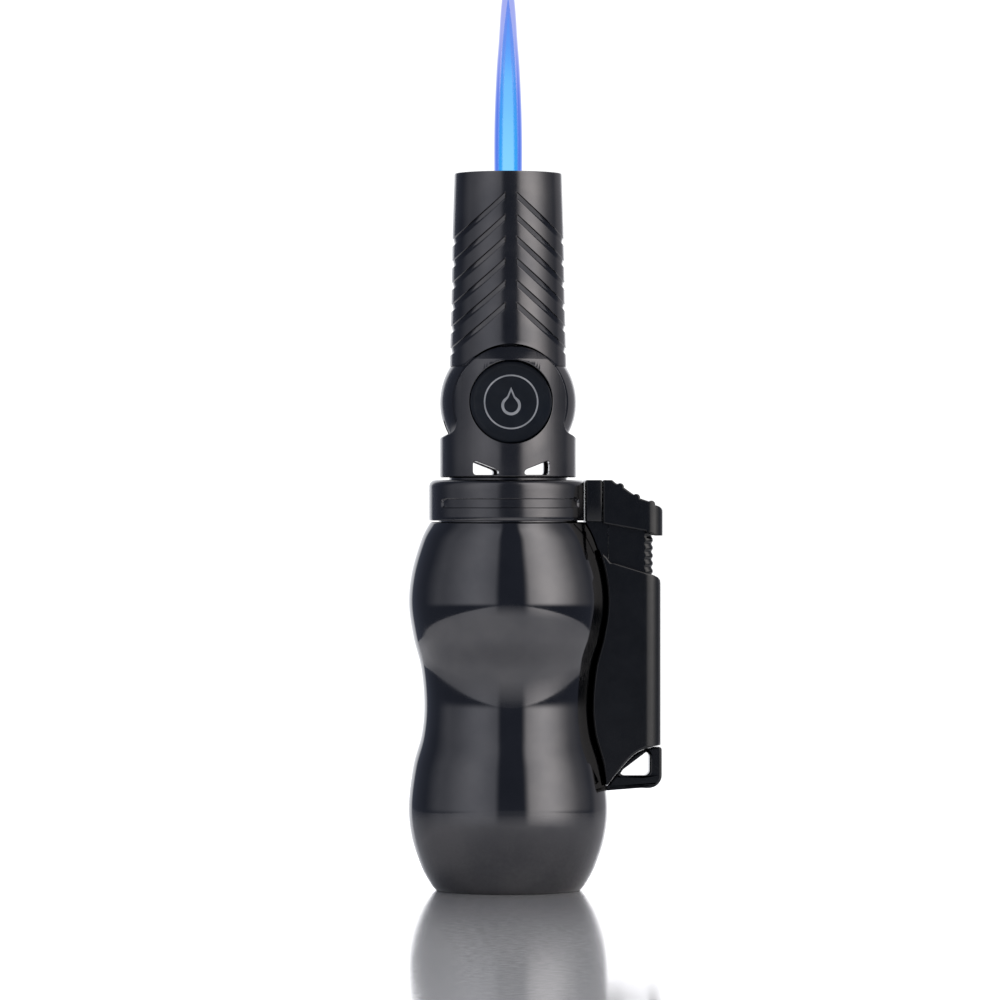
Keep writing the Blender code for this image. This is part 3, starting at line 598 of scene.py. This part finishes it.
def close_columns(name, shape, columns):
    """Join closed columns of vertices, side by side, into a ring-shaped skin."""
    for index, column in enumerate(columns):
        following = columns[(index + 1) % len(columns)]
        for row in range(len(column)):
            below = (row + 1) % len(column)
            shape.faces.new((column[row], column[below], following[below], following[row]))
    bmesh.ops.recalc_face_normals(shape, faces=shape.faces)
    return finished(name, shape)


def ball_space(name, radius, half=EAR_INSIDE, steps=120, rows=16):
    """A sphere about the pivot, cut flat at each side."""
    profile = [(0, half)]
    for index in range(rows + 1):
        height = half - 2 * half * index / rows
        profile.append((math.sqrt(radius ** 2 - height ** 2), height))
    profile.append((0, -half))
    return turned(name, profile, steps, (0, 0, PIVOT_Z), "Y")


def make_yoke():
    """Two ears on a round collar, with the covers' pockets and the four slanted vents."""
    profile = (
        (0, 107.0), (10.3, 107.0), (12.2, 104.9), (YOKE_RADIUS, 103.4),
        (YOKE_RADIUS, YOKE_BOTTOM + 0.15), (YOKE_RADIUS - 0.15, YOKE_BOTTOM), (SPIGOT_RADIUS, YOKE_BOTTOM),
        (SPIGOT_RADIUS, 78.9), (0, 78.9),
    )
    yoke = turned("yoke_skin", profile, 160)
    head = arc((0, PIVOT_Z), EAR_RADIUS, 198, -18, 72)
    left = (
        (-16, 86.2), (-13.0, 88.45), (-12.3, 88.85), (-11.7, 89.1), (-11.1, 89.5), (-10.7, 90.1),
        (-10.5, 90.9),
    )
    right = [(-across, up) for across, up in left[::-1]]
    outline = [*left, *head, *right, (16, 110), (-16, 110)]
    vent = rounded(((2.5, 81.05), (7.4, 81.05), (7.4, 83.9), (2.5, 82.0)), 0.75, 6)
    mirrored = [(-across, up) for across, up in vent[::-1]]
    cutters = [
        slab("ear_outline", (outline,), -16, 16, "XZ"),
        ball_space("ball_room", BALL_RADIUS + 0.75),
        block("yoke_well", (-9.3, -7.0, YOKE_FLOOR), (9.3, 7.0, 90)),
        rod("hose_hole", 3.4, 78, 82, 32),
        slab("vent_right", (vent,), -16, 16, "XZ"),
        slab("vent_left", (mirrored,), -16, 16, "XZ"),
    ]
    for index in range(3):
        angle = math.radians(90 + 120 * index)
        place = (8.2 * math.cos(angle), 8.2 * math.sin(angle), 0)
        cutters.append(rod("screw_hole", 1.3, 78, 80.5, 20, place))
    rim = COVER_RADIUS + 0.14
    pocket = (
        (0, 15), (rim, 15), (rim, COVER_FLOOR), (3.5, COVER_FLOOR), (3.5, 8.8), (PIN_RADIUS + GAP, 8.8),
        (PIN_RADIUS + GAP, 8.0), (4.5, 8.0), (4.5, 6.0), (0, 6.0),
    )
    cutters += [turned("pivot_pocket", pocket, 96, (0, 0, PIVOT_Z), along) for along in ("Y", "-Y")]
    for cutter in cutters:
        carve(yoke, cutter, solver="MANIFOLD")
    soften(yoke, 0.16, 32)
    dress(yoke, BODY, SATIN, ("pivot_yoke",), 35, even=True)


def make_covers():
    """Round covers over the pivot screws. The front one carries a plain printed ring and a drop."""
    for along, label in (("-Y", "front"), ("Y", "rear")):
        edge = arc((COVER_RADIUS - 0.25, COVER_FACE - 0.25), 0.25, 90, 0, 6)
        profile = (
            (0, COVER_FACE - 0.05), (6.9, COVER_FACE - 0.05), (7.1, COVER_FACE - 0.03), (7.3, COVER_FACE),
            *edge, (COVER_RADIUS, 10.0), (0, 10.0),
        )
        cover = turned(f"cover_skin_{label}", profile, 120, (0, 0, PIVOT_Z), along)
        dress(cover, BODY, COVER, (f"pivot_cover_{label}",))
    face = -COVER_FACE + 0.05
    ring = [arc((0, PIVOT_Z), radius, 0, 357, 119) for radius in (5.3, 5.0)]
    printed = slab("printed_ring", ring, face - 0.02, face + 0.03, "XZ")
    dress(printed, BODY, PRINT)
    drop = []
    for radius in (1.0, 0.72):
        bowl = arc((0, PIVOT_Z - 0.7), 1.9 * radius, -215, 35, 32)
        drop.append([*bowl, (0.75 * radius, PIVOT_Z + 1.1 * radius), (0, PIVOT_Z + 2.9 * radius),
                     (-0.75 * radius, PIVOT_Z + 1.1 * radius)])
    mark = slab("printed_drop", drop, face - 0.02, face + 0.03, "XZ")
    dress(mark, BODY, PRINT)


# ---------------------------------------------------------------- burner head

def make_ball():
    """The ball between the ears, its neck in the barrel, and the slots that the hose runs through."""
    ball = ball_space("ball_skin", BALL_RADIUS, BALL_HALF)
    shoulder = 103.9
    carve(ball, block("ball_top", (-15, -15, shoulder), (15, 15, 112)))
    neck = ((0, 108.6), (8.9, 108.6), (8.9, 106.9), (6.75, 106.7), (6.75, shoulder - 2), (0, shoulder - 2))
    carve(ball, turned("ball_neck", neck, 96), "UNION")
    room = ((0, 112), (5.6, 112), (5.6, 102.0), (2.7, 101.2), (2.7, PIVOT_Z - 1), (0, PIVOT_Z - 1))
    carve(ball, turned("hose_room", room, 48))
    carve(ball, rod("hollow", 9.6, -2.5, 2.5, 64, (0, 0, PIVOT_Z), "Y"), solver="MANIFOLD")
    carve(ball, block("hose_slot", (-15, -SLOT_HALF, PIVOT_Z - 15), (15, SLOT_HALF, PIVOT_Z - 3.5)))
    carve(ball, rod("axle_hole", PIN_RADIUS + GAP, -8, 8, 32, (0, 0, PIVOT_Z), "Y"))
    dress(ball, HEAD, SATIN, ("ball_knuckle",), 35, even=True)


def side_radius(height):
    """The barrel's outer radius at a height."""
    for (above_radius, above), (radius, below) in zip(BARREL_SIDE, BARREL_SIDE[1:]):
        if height >= below:
            share = min(1.0, (height - below) / (above - below))
            return radius + (above_radius - radius) * share
    return BARREL_SIDE[-1][0]


def ease(value):
    value = max(0.0, min(1.0, value))
    return value * value * (3 - 2 * value)


def groove_depth(across, level):
    """How deep the chevron grooves cut at a distance from the spine and a level measured along them."""
    for index in range(GROOVE_COUNT):
        below_tip = GROOVE_TOP - GROOVE_PITCH * index - level
        if not 0 <= below_tip <= GROOVE_HEIGHT:
            continue
        corner = 0.45
        inset_x = across
        inset_top = below_tip
        inset_low = GROOVE_HEIGHT - below_tip
        edge = min(inset_x, inset_top, inset_low)
        if inset_x < corner and min(inset_top, inset_low) < corner:
            away = math.hypot(corner - inset_x, corner - min(inset_top, inset_low))
            edge = corner - away
        if edge <= 0:
            return 0.0
        wall = ease(edge / 0.18)
        floor = 0.5 + 0.5 * ease(below_tip / (GROOVE_HEIGHT * 0.8))
        outwards = 1.0 - 0.3 * ease((across - 3.0) / 6.0)
        return GROOVE_DEPTH * wall * floor * outwards
    return 0.0


def barrel_angles():
    """Turning angles of the barrel's columns, closer together where the grooves begin."""
    mean = 11.0
    steps = [0.0, 0.5, 0.85, *np.arange(1.0, 1.31, 0.05), *np.arange(1.4, 2.01, 0.1), 2.3, 2.7, 3.2]
    quarter = [math.asin(step / mean) for step in steps]
    quarter += [math.radians(value) for value in np.arange(20.5, 90.1, 3.16)]
    quarter = quarter[:-1] if quarter[-1] > math.pi / 2 - 0.02 else quarter
    half = [-angle for angle in quarter[:0:-1]] + quarter
    return [*half, math.pi / 2, *[math.pi + angle for angle in half], -math.pi / 2]


def barrel_levels():
    """Levels measured along the grooves, closer together at each groove's edges."""
    levels = []
    for index in range(GROOVE_COUNT):
        tip = GROOVE_TOP - GROOVE_PITCH * index
        inside = [0, 0.08, 0.16, 0.24, 0.34, 0.5, 0.7, 0.9, 1.1, 1.26, 1.36, 1.44, 1.52, GROOVE_HEIGHT]
        levels += [tip - step for step in inside]
        gap = GROOVE_PITCH - GROOVE_HEIGHT
        if index < GROOVE_COUNT - 1:
            levels += [tip - GROOVE_HEIGHT - gap * share for share in (0.04, 0.3, 0.7, 0.96)]
    return [GROOVE_TOP + 0.1, *levels, levels[-1] - 0.1]


def make_barrel():
    """The barrel: rows of vertices follow the chevron grooves, so that their edges stay crisp."""
    angles = barrel_angles()
    levels = barrel_levels()
    shape = bmesh.new()
    columns = []
    for angle in angles:
        sin, cos = math.sin(angle), math.cos(angle)

        def vertex(radius, height, sin=sin, cos=cos):
            return shape.verts.new((radius * sin * MM, -radius * cos * MM, height * MM))

        across = abs(sin) * 11.0
        drop = GROOVE_DROP * max(across - SPINE_HALF, 0.0)
        column = [vertex(BARREL_BORE, 139.7), vertex(BARREL_BORE + 0.3, BARREL_TOP)]
        column += [vertex(10.3, BARREL_TOP), vertex(10.44, 139.92), vertex(10.5, 139.76)]
        first = levels[0] - drop
        column += [vertex(side_radius(height), height) for height in np.linspace(139.5, first, 8)[:-1]]
        for level in levels:
            height = level - drop
            depth = groove_depth(across - SPINE_HALF, level)
            column.append(vertex(side_radius(height) - depth, height))
        last = levels[-1] - drop
        rim = barrel_bottom(11.4, sin, cos)
        column += [vertex(side_radius(height), height) for height in np.linspace(last, rim + 0.14, 10)[1:]]
        column.append(vertex(11.36, rim + 0.04))
        column.append(vertex(11.24, barrel_bottom(11.24, sin, cos)))
        for radius in (10.6, 10.1, 9.6, BARREL_BORE):
            column.append(vertex(radius, barrel_bottom(radius, sin, cos)))
        column += [vertex(BARREL_BORE, height) for height in (112.0, 121.0, 130.0)]
        columns.append(column)
    barrel = close_columns("barrel_skin", shape, columns)
    dress(barrel, HEAD, SATIN, ("nozzle_barrel",), 34)


def barrel_bottom(radius, sin, cos):
    """The barrel's lower edge: an arch round each ear, and a round seat for the ball between them."""
    arch = PIVOT_Z + math.sqrt(11.25 ** 2 - min(radius * abs(sin), 8.8) ** 2)
    seat = PIVOT_Z + math.sqrt((BALL_RADIUS + 0.12) ** 2 - radius ** 2)
    share = ease((radius * abs(cos) - 6.9) / 0.6)
    return arch * share + max(arch, seat) * (1 - share)


# ---------------------------------------------------------------- handle side

def plan_outline(left, right, half, corner, steps=16):
    """A plan outline that is square towards the body and has two round corners on the outside."""
    near = arc((right - corner, corner - half), corner, -90, 0, steps)
    far = arc((right - corner, half - corner), corner, 0, 90, steps)
    return [(left, -half), *near, *far, (left, half)]


def side_block(name, room):
    """The body's side with room around it, seen from the front and as wide as the handle."""
    side = [(radius + room, height) for radius, height in body_line(5)]
    return slab(name, (((0, 76), (side[0][0], 76), *side, (side[-1][0], -2), (0, -2)),), -8, 8, "XZ")


def body_radius(height):
    """The body's outer radius at a height."""
    for (above_radius, above), (radius, below) in zip(BODY_SIDE, BODY_SIDE[1:]):
        if height >= below:
            share = max(0.0, min(1.0, (height - below) / (above - below)))
            return radius + (above_radius - radius) * share
    return BODY_SIDE[-1][0]


def dense(outline, spacing):
    """The closed outline with points added, so that none is further from the next than the spacing."""
    line = []
    for start, end in zip(outline, [*outline[1:], outline[0]]):
        count = max(1, math.ceil(math.dist(start, end) / spacing))
        line += [tuple(a + (b - a) * step / count for a, b in zip(start, end)) for step in range(count)]
    return line


def inset_outline(outline, amount):
    """The closed outline moved inwards by an amount at every point."""
    area = sum(a[0] * b[1] - b[0] * a[1] for a, b in zip(outline, [*outline[1:], outline[0]]))
    turn = 1 if area > 0 else -1
    line = []
    for index, point in enumerate(outline):
        before = outline[index - 1]
        after = outline[(index + 1) % len(outline)]
        first = unit(before, point)
        second = unit(point, after)
        normal = (-(first[1] + second[1]) * turn, (first[0] + second[0]) * turn)
        length = max(math.hypot(*normal), 1e-6)
        move = amount * min(1.6, 2.0 / length) / length
        line.append((point[0] + normal[0] * move, point[1] + normal[1] * move))
    return line


def unit(start, end):
    length = max(math.dist(start, end), 1e-9)
    return ((end[0] - start[0]) / length, (end[1] - start[1]) / length)


def moulding(name, outline, half, edge, limit, steps=4, corner=1.0, tip=0.0):
    """A moulded solid from an outline seen from the front: its front and back edges are rounded.

    The limit gives the lowest and highest X that a point may have at its Y and its height. The
    rounding fades out over the last millimetres above the tip.
    """
    front = []
    for step in range(steps + 1):
        angle = math.pi / 2 * step / steps
        front.append((-half + edge * (1 - math.cos(angle)), edge * (1 - math.sin(angle))))
    for step in range(9, -1, -1):
        depth = half - corner + corner * math.sin(math.radians(8.5 * step))
        if depth < half - edge - 0.02:
            front.append((-depth, 0.0))
    layers = [*front, (0.0, 0.0), *[(-depth, inset) for depth, inset in front[::-1]]]
    shape = bmesh.new()
    rings = []
    for depth, inset in layers:
        ring = []
        for (x, z), (start_x, start_z) in zip(inset_outline(outline, inset), outline):
            share = max(0.05, min(1.0, (start_z - tip) / 4.0))
            x = start_x + (x - start_x) * share
            z = start_z + (z - start_z) * share
            low, high = limit(depth, z)
            x = max(low + 0.25 * inset * share, min(high - inset * share, x))
            ring.append(shape.verts.new((x * MM, depth * MM, z * MM)))
        rings.append(ring)
    return close_rings(name, shape, rings)


def close_rings(name, shape, rings):
    """Join rings of vertices, one after the other, into a skin that is closed at both ends."""
    count = len(rings[0])
    for near, far in zip(rings, rings[1:]):
        for index in range(count):
            following = (index + 1) % count
            shape.faces.new((near[index], far[index], far[following], near[following]))
    shape.faces.new(rings[0])
    shape.faces.new(rings[-1][::-1])
    bmesh.ops.recalc_face_normals(shape, faces=shape.faces)
    return finished(name, shape)


def right_limit(right, half, corner, depth):
    """The highest X at a depth of a plan whose right corners are round."""
    past = abs(depth) - (half - corner)
    if past <= 0:
        return right
    return right - corner + math.sqrt(max(corner ** 2 - past ** 2, 0.0))


def make_housing():
    """The handle housing: a moulded channel that hugs the body and takes the trigger's skirt."""
    foot = smooth_line(HOUSING_FOOT, 8)
    side = [(body_radius(height) + SEAM, height) for height in np.linspace(66.6, 20.7, 66)]
    outline = dense((
        *[point for point in foot[::-1] if point[0] > side[-1][0] + 0.3], (29.9, 28.4), (29.9, 60.0),
        (29.55, 60.6), (29.1, 61.1), (28.3, 61.5), (27.5, 61.8), (20.4, 64.0), (19.7, 64.1), (19.1, 65.0),
        *side,
    ), 0.7)

    def limit(depth, height):
        return body_radius(height) + SEAM, right_limit(HOUSING_RIGHT, HOUSING_HALF, HOUSING_CORNER, depth)

    housing = moulding("housing_skin", outline, HOUSING_HALF, 0.45, limit, 5, HOUSING_CORNER, side[-1][1])
    right = HANDLE_X + CAVITY_HALF
    lower = plan_outline(20.4, right, CAVITY_HALF, CAVITY_CORNER)
    upper = plan_outline(SPINE_RIGHT, right, CAVITY_HALF, CAVITY_CORNER)
    carve(housing, slab("cavity_lower", (lower,), CAVITY_BOTTOM, 54))
    carve(housing, slab("cavity_upper", (upper,), 53.2, 78))
    spine = block("housing_spine", (14, -3.7, 60), (SPINE_RIGHT, 3.7, 72.0))
    carve(spine, side_block("body_room", SEAM))
    carve(housing, spine, "UNION")
    carve(housing, block("lever_slot", (12, -LEVER_ROOM, 62.9), (20.7, LEVER_ROOM, 71.4)))
    carve(housing, rod("wire_hole", 0.9, 14, 21.5, 20, (0, 0, 44), "X"))
    for height in (38.0, 28.0):
        carve(housing, rod("screw_hole", 1.0, 14, 19.9, 20, (0, 0, height), "X"))
    dress(housing, BODY, PLASTIC, ("handle_housing",), 40, even=True)


def make_loop():
    """The lanyard loop: a rounded bar under the housing's curved foot, with a hole for the cord."""
    foot = [(across + 0.25, up - 0.25) for across, up in smooth_line(HOUSING_FOOT, 8)]
    outer = [(17.0, 19.9), *arc((27.5, 22.4), 2.5, -90, 0, 12), (30.0, 27.9), *foot]
    hole = ((22.3, 22.4), (27.0, 22.4), (27.6, 23.0), (27.6, 26.3), (27.0, 27.0), (21.7, 23.0))
    hole = rounded(hole, 0.35, 4)
    loop = slab("loop_skin", (outer, hole), -2, 2, "XZ")
    carve(loop, side_block("body_room", SEAM))
    soften(loop, 0.5, 35, 4)
    dress(loop, BODY, PLASTIC, ("lanyard_loop",), 40, even=True)


def make_guide():
    """The fixed block between the cap and the trigger."""
    guide = block("guide_skin", (14.9, -5.0, CAP_BOTTOM - 0.25), (TRIGGER_LEFT - 0.1, 5.0, CAP_TOP))
    soften(guide, 0.3, 30, 4)
    dress(guide, BODY, PLASTIC, ("trigger_guide",))


def loft(name, rows):
    """A closed skin through plan outlines, each given with its height, from the top down."""
    shape = bmesh.new()
    rings = []
    for outline, height in rows:
        rings.append([shape.verts.new((x * MM, y * MM, height * MM)) for x, y in outline])
    return close_rings(name, shape, rings)


def make_trigger():
    """The trigger: a ramp with three rounded ribs, a lip, and a skirt with fine ribs on its outside."""
    ramp_line = [(20.15, 80.0), (20.6, 79.6), (20.95, 79.36)]
    for centre in ((21.6, 78.75), (24.75, 76.65), (27.7, 75.35)):
        ramp_line += arc(centre, 0.75, 128, -10, 9)
    outline = dense((
        (TRIGGER_LEFT, 71.6), (TRIGGER_LEFT, 79.9), (TRIGGER_LEFT + 0.2, TRIGGER_TOP), (19.9, TRIGGER_TOP),
        *ramp_line, (29.3, 74.95), (29.75, 74.65), (30.3, 74.0), (30.3, 69.25), (28.2, 69.8), (19.2, 71.4),
    ), 0.8)

    def limit(depth, height):
        return TRIGGER_LEFT, right_limit(TRIGGER_RIGHT, TRIGGER_HALF, TRIGGER_CORNER, depth)

    head = moulding("trigger_skin", outline, TRIGGER_HALF, 0.35, limit, 4, TRIGGER_CORNER)
    skirt_right = HANDLE_X + SKIRT_HALF
    rows = []
    for step in range(109):
        height = 71.9 - 13.4 * step / 108
        wave = 0.5 - 0.5 * math.cos(2 * math.pi * (height - 58.5) / 1.52)
        inset = 0.28 * (1 - wave) ** 1.5
        left = SKIRT_LEFT + 0.4 * max(0.0, min(1.0, (66.0 - height) / 4.0))
        rows.append((plan_outline(left, skirt_right - inset, SKIRT_HALF, SKIRT_CORNER), height))
    carve(head, loft("skirt", rows), "UNION")
    carve(head, block("spine_room", (17, -SKIRT_HALF, 70), (SKIRT_LEFT, SKIRT_HALF, 77.3)))
    carve(head, block("lever_notch", (19, -LEVER_ROOM, 57), (22.3, LEVER_ROOM, 70.9)))
    carve(head, rod("spring_room", 2.9, 57, PLUNGER_TOP + GAP, 40, (HANDLE_X, 0, 0)))
    dress(head, TRIGGER, PLASTIC, ("trigger",), 40, even=True)


# ---------------------------------------------------------------- springs

def helix(name, radius, gauge, low, high, turns, centre):
    """A spring's wire between two heights."""
    count = turns * 28
    climb = high - low - 2 * gauge
    route = []
    for index in range(count + 1):
        angle = 2 * math.pi * turns * index / count
        route.append((centre[0] + radius * math.cos(angle), centre[1] + radius * math.sin(angle),
                      low + gauge + climb * index / count))
    return wire(name, route, gauge, 4)


def make_springs():
    """Each spring as a coiled steel wire on the body, in place of its CAD node."""
    springs = (
        ("trigger_spring", 2.2, 0.25, 52.2, 63.6, 4, HANDLE_X, "trigger_press", 52.2, 5.0),
        ("gas_valve_spring", 1.65, 0.22, 55.3, 61.7, 3, 0, "gas_valve_lift", 61.7, 1.8),
        ("fill_valve_spring", 1.45, 0.22, 4.4, 11.1, 3, FILL_X, "fill_valve_push", 11.1, 1.5),
    )
    for node, radius, gauge, low, high, turns, across, joint, fixed, travel in springs:
        spring = helix(f"{node}_skin", radius, gauge, low, high, turns, (across, 0))
        dress(spring, BODY, STEEL, (node,))
        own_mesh(spring)


# ---------------------------------------------------------------- flame, floor, light and camera

def glow(name, base, tip, strength, cover, middle):
    """Flame light: its colour and cover change towards the tip, and its middle is clearer than its rim."""
    made, tree, shader = node_tree(name)
    tree.nodes.remove(shader)
    where = tree.nodes.new("ShaderNodeTexCoord")
    split = tree.nodes.new("ShaderNodeSeparateXYZ")
    tree.links.new(where.outputs["Object"], split.inputs["Vector"])
    along = eased(tree, split.outputs["Z"], 0.138, 0.176)
    colour = ramp(tree, along, base, tip, 0.0, 1.0)
    facing = tree.nodes.new("ShaderNodeLayerWeight")
    facing.inputs["Blend"].default_value = 0.5
    rim = eased(tree, facing.outputs["Facing"], 0.08, 0.4, eased(tree, along, 0.5, 1.0, middle))
    edge = eased(tree, facing.outputs["Facing"], 0.3, 0.97, 1.0, 0.0)
    fade = eased(tree, along, 0.3, 1.0, cover, cover * 0.6)
    solid = maths(tree, "MULTIPLY", maths(tree, "MULTIPLY", rim, edge), fade)
    light = tree.nodes.new("ShaderNodeEmission")
    light.inputs["Strength"].default_value = strength
    clear = tree.nodes.new("ShaderNodeBsdfTransparent")
    tree.links.new(colour, light.inputs["Color"])
    surface = mixed(tree, solid, clear.outputs["BSDF"], light.outputs["Emission"])
    tree.links.new(surface, tree.nodes["Material Output"].inputs["Surface"])
    return made


def make_flame():
    """A long pointed jet in three nested layers, from violet-blue outside to a pale blue core."""
    layers = (
        ("flame_outer",
         ((2.6, 133.0), (2.8, 141.0), (2.75, 150.0), (2.35, 160.0), (1.9, 166.0), (1.4, 173.0),
          (0.1, 184.0)),
         (0.06, 0.19, 0.86), (0.17, 0.24, 0.86), 0.95, 0.88, 0.3),
        ("flame_middle",
         ((1.9, 132.5), (2.0, 140.0), (1.9, 150.0), (1.5, 160.0), (1.0, 167.0), (0.1, 174.0)),
         (0.02, 0.48, 1.0), (0.04, 0.26, 0.92), 1.0, 0.94, 0.6),
        ("flame_core",
         ((1.2, 132.2), (1.2, 140.0), (1.1, 150.0), (0.85, 158.0), (0.5, 165.0), (0.1, 171.0)),
         (0.52, 1.0, 1.0), (0.02, 0.42, 1.0), 1.3, 0.95, 1.0),
    )
    for name, profile, base, tip, strength, cover, middle in layers:
        line = [(0, profile[-1][1] + 0.2), *smooth_line(profile[::-1], 6), (0, profile[0][1])]
        flame = turned(name, line, 64)
        flame.data.materials.append(glow(name, base, tip, strength, cover, middle))
        flame.data.shade_smooth()
        flame.visible_shadow = False
        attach(flame, HEAD)


def make_floor():
    """A pale round stone with a faint mottle and a painted glow, which fades to almost nothing near the
    object's foot as a painted shadow. It is matt seen from above and glossy seen along it.
    """
    outline = [(260 * across, 700 * along - 250) for across, along in arc((0, 0), 1.0, 0, 357.5, 143)]
    floor = slab("floor", (outline,), -6.02, -0.02)
    made, tree, shader = node_tree("pale_floor")
    mottle = noise(tree, 1.6, 9.0, rough=0.75)
    tree.links.new(ramp(tree, mottle, (0.78, 0.78, 0.79), (0.92, 0.92, 0.93)), shader.inputs["Base Color"])
    shader.inputs["Roughness"].default_value = 0.6
    shader.inputs["Specular IOR Level"].default_value = 0.2
    # Painted light: the floor glows white, though it is no lamp.
    shader.inputs["Emission Color"].default_value = (1.0, 1.0, 1.0, 1.0)
    where = tree.nodes.new("ShaderNodeTexCoord")
    away = tree.nodes.new("ShaderNodeVectorMath")
    away.operation = "LENGTH"
    tree.links.new(where.outputs["Object"], away.inputs[0])
    # Painted shadow: the glow is faint within 15 mm of the object's middle and grows stronger out to 150
    # mm.
    painted_glow = eased(tree, away.outputs["Value"], 0.015, 0.15, 0.02, 0.38)
    tree.links.new(painted_glow, shader.inputs["Emission Strength"])
    gloss = tree.nodes.new("ShaderNodeBsdfGlossy")
    gloss.inputs["Color"].default_value = (1.0, 1.0, 1.0, 1.0)
    tree.links.new(spread(tree, mottle, 0.05, 0.16), gloss.inputs["Roughness"])
    facing = tree.nodes.new("ShaderNodeLayerWeight")
    facing.inputs["Blend"].default_value = 0.5
    share = tree.nodes.new("ShaderNodeMapRange")
    share.inputs["From Min"].default_value = 0.74
    share.inputs["From Max"].default_value = 0.93
    tree.links.new(facing.outputs["Facing"], share.inputs["Value"])
    speckle = maths(tree, "MULTIPLY", share.outputs["Result"], spread(tree, mottle, 0.78, 0.96))
    surface = mixed(tree, speckle, shader.outputs["BSDF"], gloss.outputs["BSDF"])
    tree.links.new(surface, tree.nodes["Material Output"].inputs["Surface"])
    floor.data.materials.append(made)


def make_world():
    """White for the camera. The metal reflects two tall soft lights, a wall at the right and a dim room."""
    world = bpy.data.worlds.new("studio")
    bpy.context.scene.world = world
    world.use_nodes = True
    tree = world.node_tree
    tree.nodes.clear()

    def background(colour, strength):
        made = tree.nodes.new("ShaderNodeBackground")
        made.inputs["Color"].default_value = (*colour, 1)
        feed(tree, made.inputs["Strength"], strength)
        return made.outputs["Background"]

    def add(first, second):
        made = tree.nodes.new("ShaderNodeAddShader")
        tree.links.new(first, made.inputs[0])
        tree.links.new(second, made.inputs[1])
        return made.outputs["Shader"]

    where = tree.nodes.new("ShaderNodeTexCoord")
    split = tree.nodes.new("ShaderNodeSeparateXYZ")
    tree.links.new(where.outputs["Generated"], split.inputs["Vector"])
    across, depth, up = (split.outputs[name] for name in ("X", "Y", "Z"))
    azimuth = maths(tree, "DEGREES", maths(tree, "ARCTAN2", across, maths(tree, "MULTIPLY", depth, -1.0)))
    height = maths(tree, "DEGREES", maths(tree, "ARCSINE", up))

    def light(left, right, peak, soft_left, soft_right, low, high):
        """A tall light panel that is brightest at its peak azimuth."""
        rise = eased(tree, azimuth, left, left + soft_left)
        fall = eased(tree, azimuth, right, right - soft_right)
        away = maths(tree, "ABSOLUTE", maths(tree, "SUBTRACT", azimuth, peak))
        middle = eased(tree, away, 46.0, 0.0)
        above = eased(tree, height, low - 2.0, low + 2.0)
        below = eased(tree, height, high + 8.0, high - 8.0)
        tall = maths(tree, "MULTIPLY", above, below)
        window = maths(tree, "MULTIPLY", maths(tree, "MULTIPLY", rise, fall), tall)
        return window, middle

    left_window, left_middle = light(*LEFT_PANEL)
    right_window, right_middle = light(*RIGHT_PANEL)
    left_shade = maths(tree, "ADD", maths(tree, "MULTIPLY", left_middle, LEFT_LEVEL[1]), LEFT_LEVEL[0])
    right_shade = maths(tree, "ADD", maths(tree, "MULTIPLY", right_middle, RIGHT_LEVEL[1]), RIGHT_LEVEL[0])
    left_level = maths(tree, "MULTIPLY", left_window, left_shade)
    right_level = maths(tree, "MULTIPLY", right_window, right_shade)
    rear = eased(tree, maths(tree, "ABSOLUTE", azimuth), REAR_START, REAR_START + 6.0)
    total = background(DARK_COLOUR, 1.0)
    total = add(total, background((0.97, 0.97, 1.0), left_level))
    total = add(total, background((1.0, 0.955, 0.915), right_level))
    total = add(total, background((1.0, 1.0, 1.0), rear))
    side = maths(tree, "MULTIPLY", eased(tree, azimuth, *SIDE_WALL[:2]), SIDE_WALL[2])
    total = add(total, background((1.0, 0.93, 0.87), side))
    path = tree.nodes.new("ShaderNodeLightPath")
    white = background((1.0, 1.0, 1.0), 1.15)
    output = tree.nodes.new("ShaderNodeOutputWorld")
    tree.links.new(mixed(tree, path.outputs["Is Camera Ray"], total, white), output.inputs["Surface"])


def make_camera():
    """Level with the object's middle and three degrees to its left, as in the studio shot."""
    target = Vector((-1.6, 0.0, 76.2)) * MM
    azimuth = math.radians(-3.0)
    distance = 1.1
    away = Vector((math.sin(azimuth), -math.cos(azimuth), 0.0)) * distance
    camera = bpy.data.cameras.new("camera")
    camera.lens = 36.0 * distance / 0.1955
    made = link("camera", camera)
    turn = away.to_track_quat("Z", "Y").to_matrix().to_4x4()
    made.matrix_world = Matrix.Translation(target + away) @ turn
    bpy.context.scene.camera = made


finish_cad_nodes()
make_shell()
make_cap()
make_yoke()
make_covers()
make_ball()
make_barrel()
make_housing()
make_loop()
make_guide()
make_trigger()
make_springs()
make_flame()
make_floor()
make_world()
make_camera()
bpy.context.scene.view_settings.view_transform = "Standard"
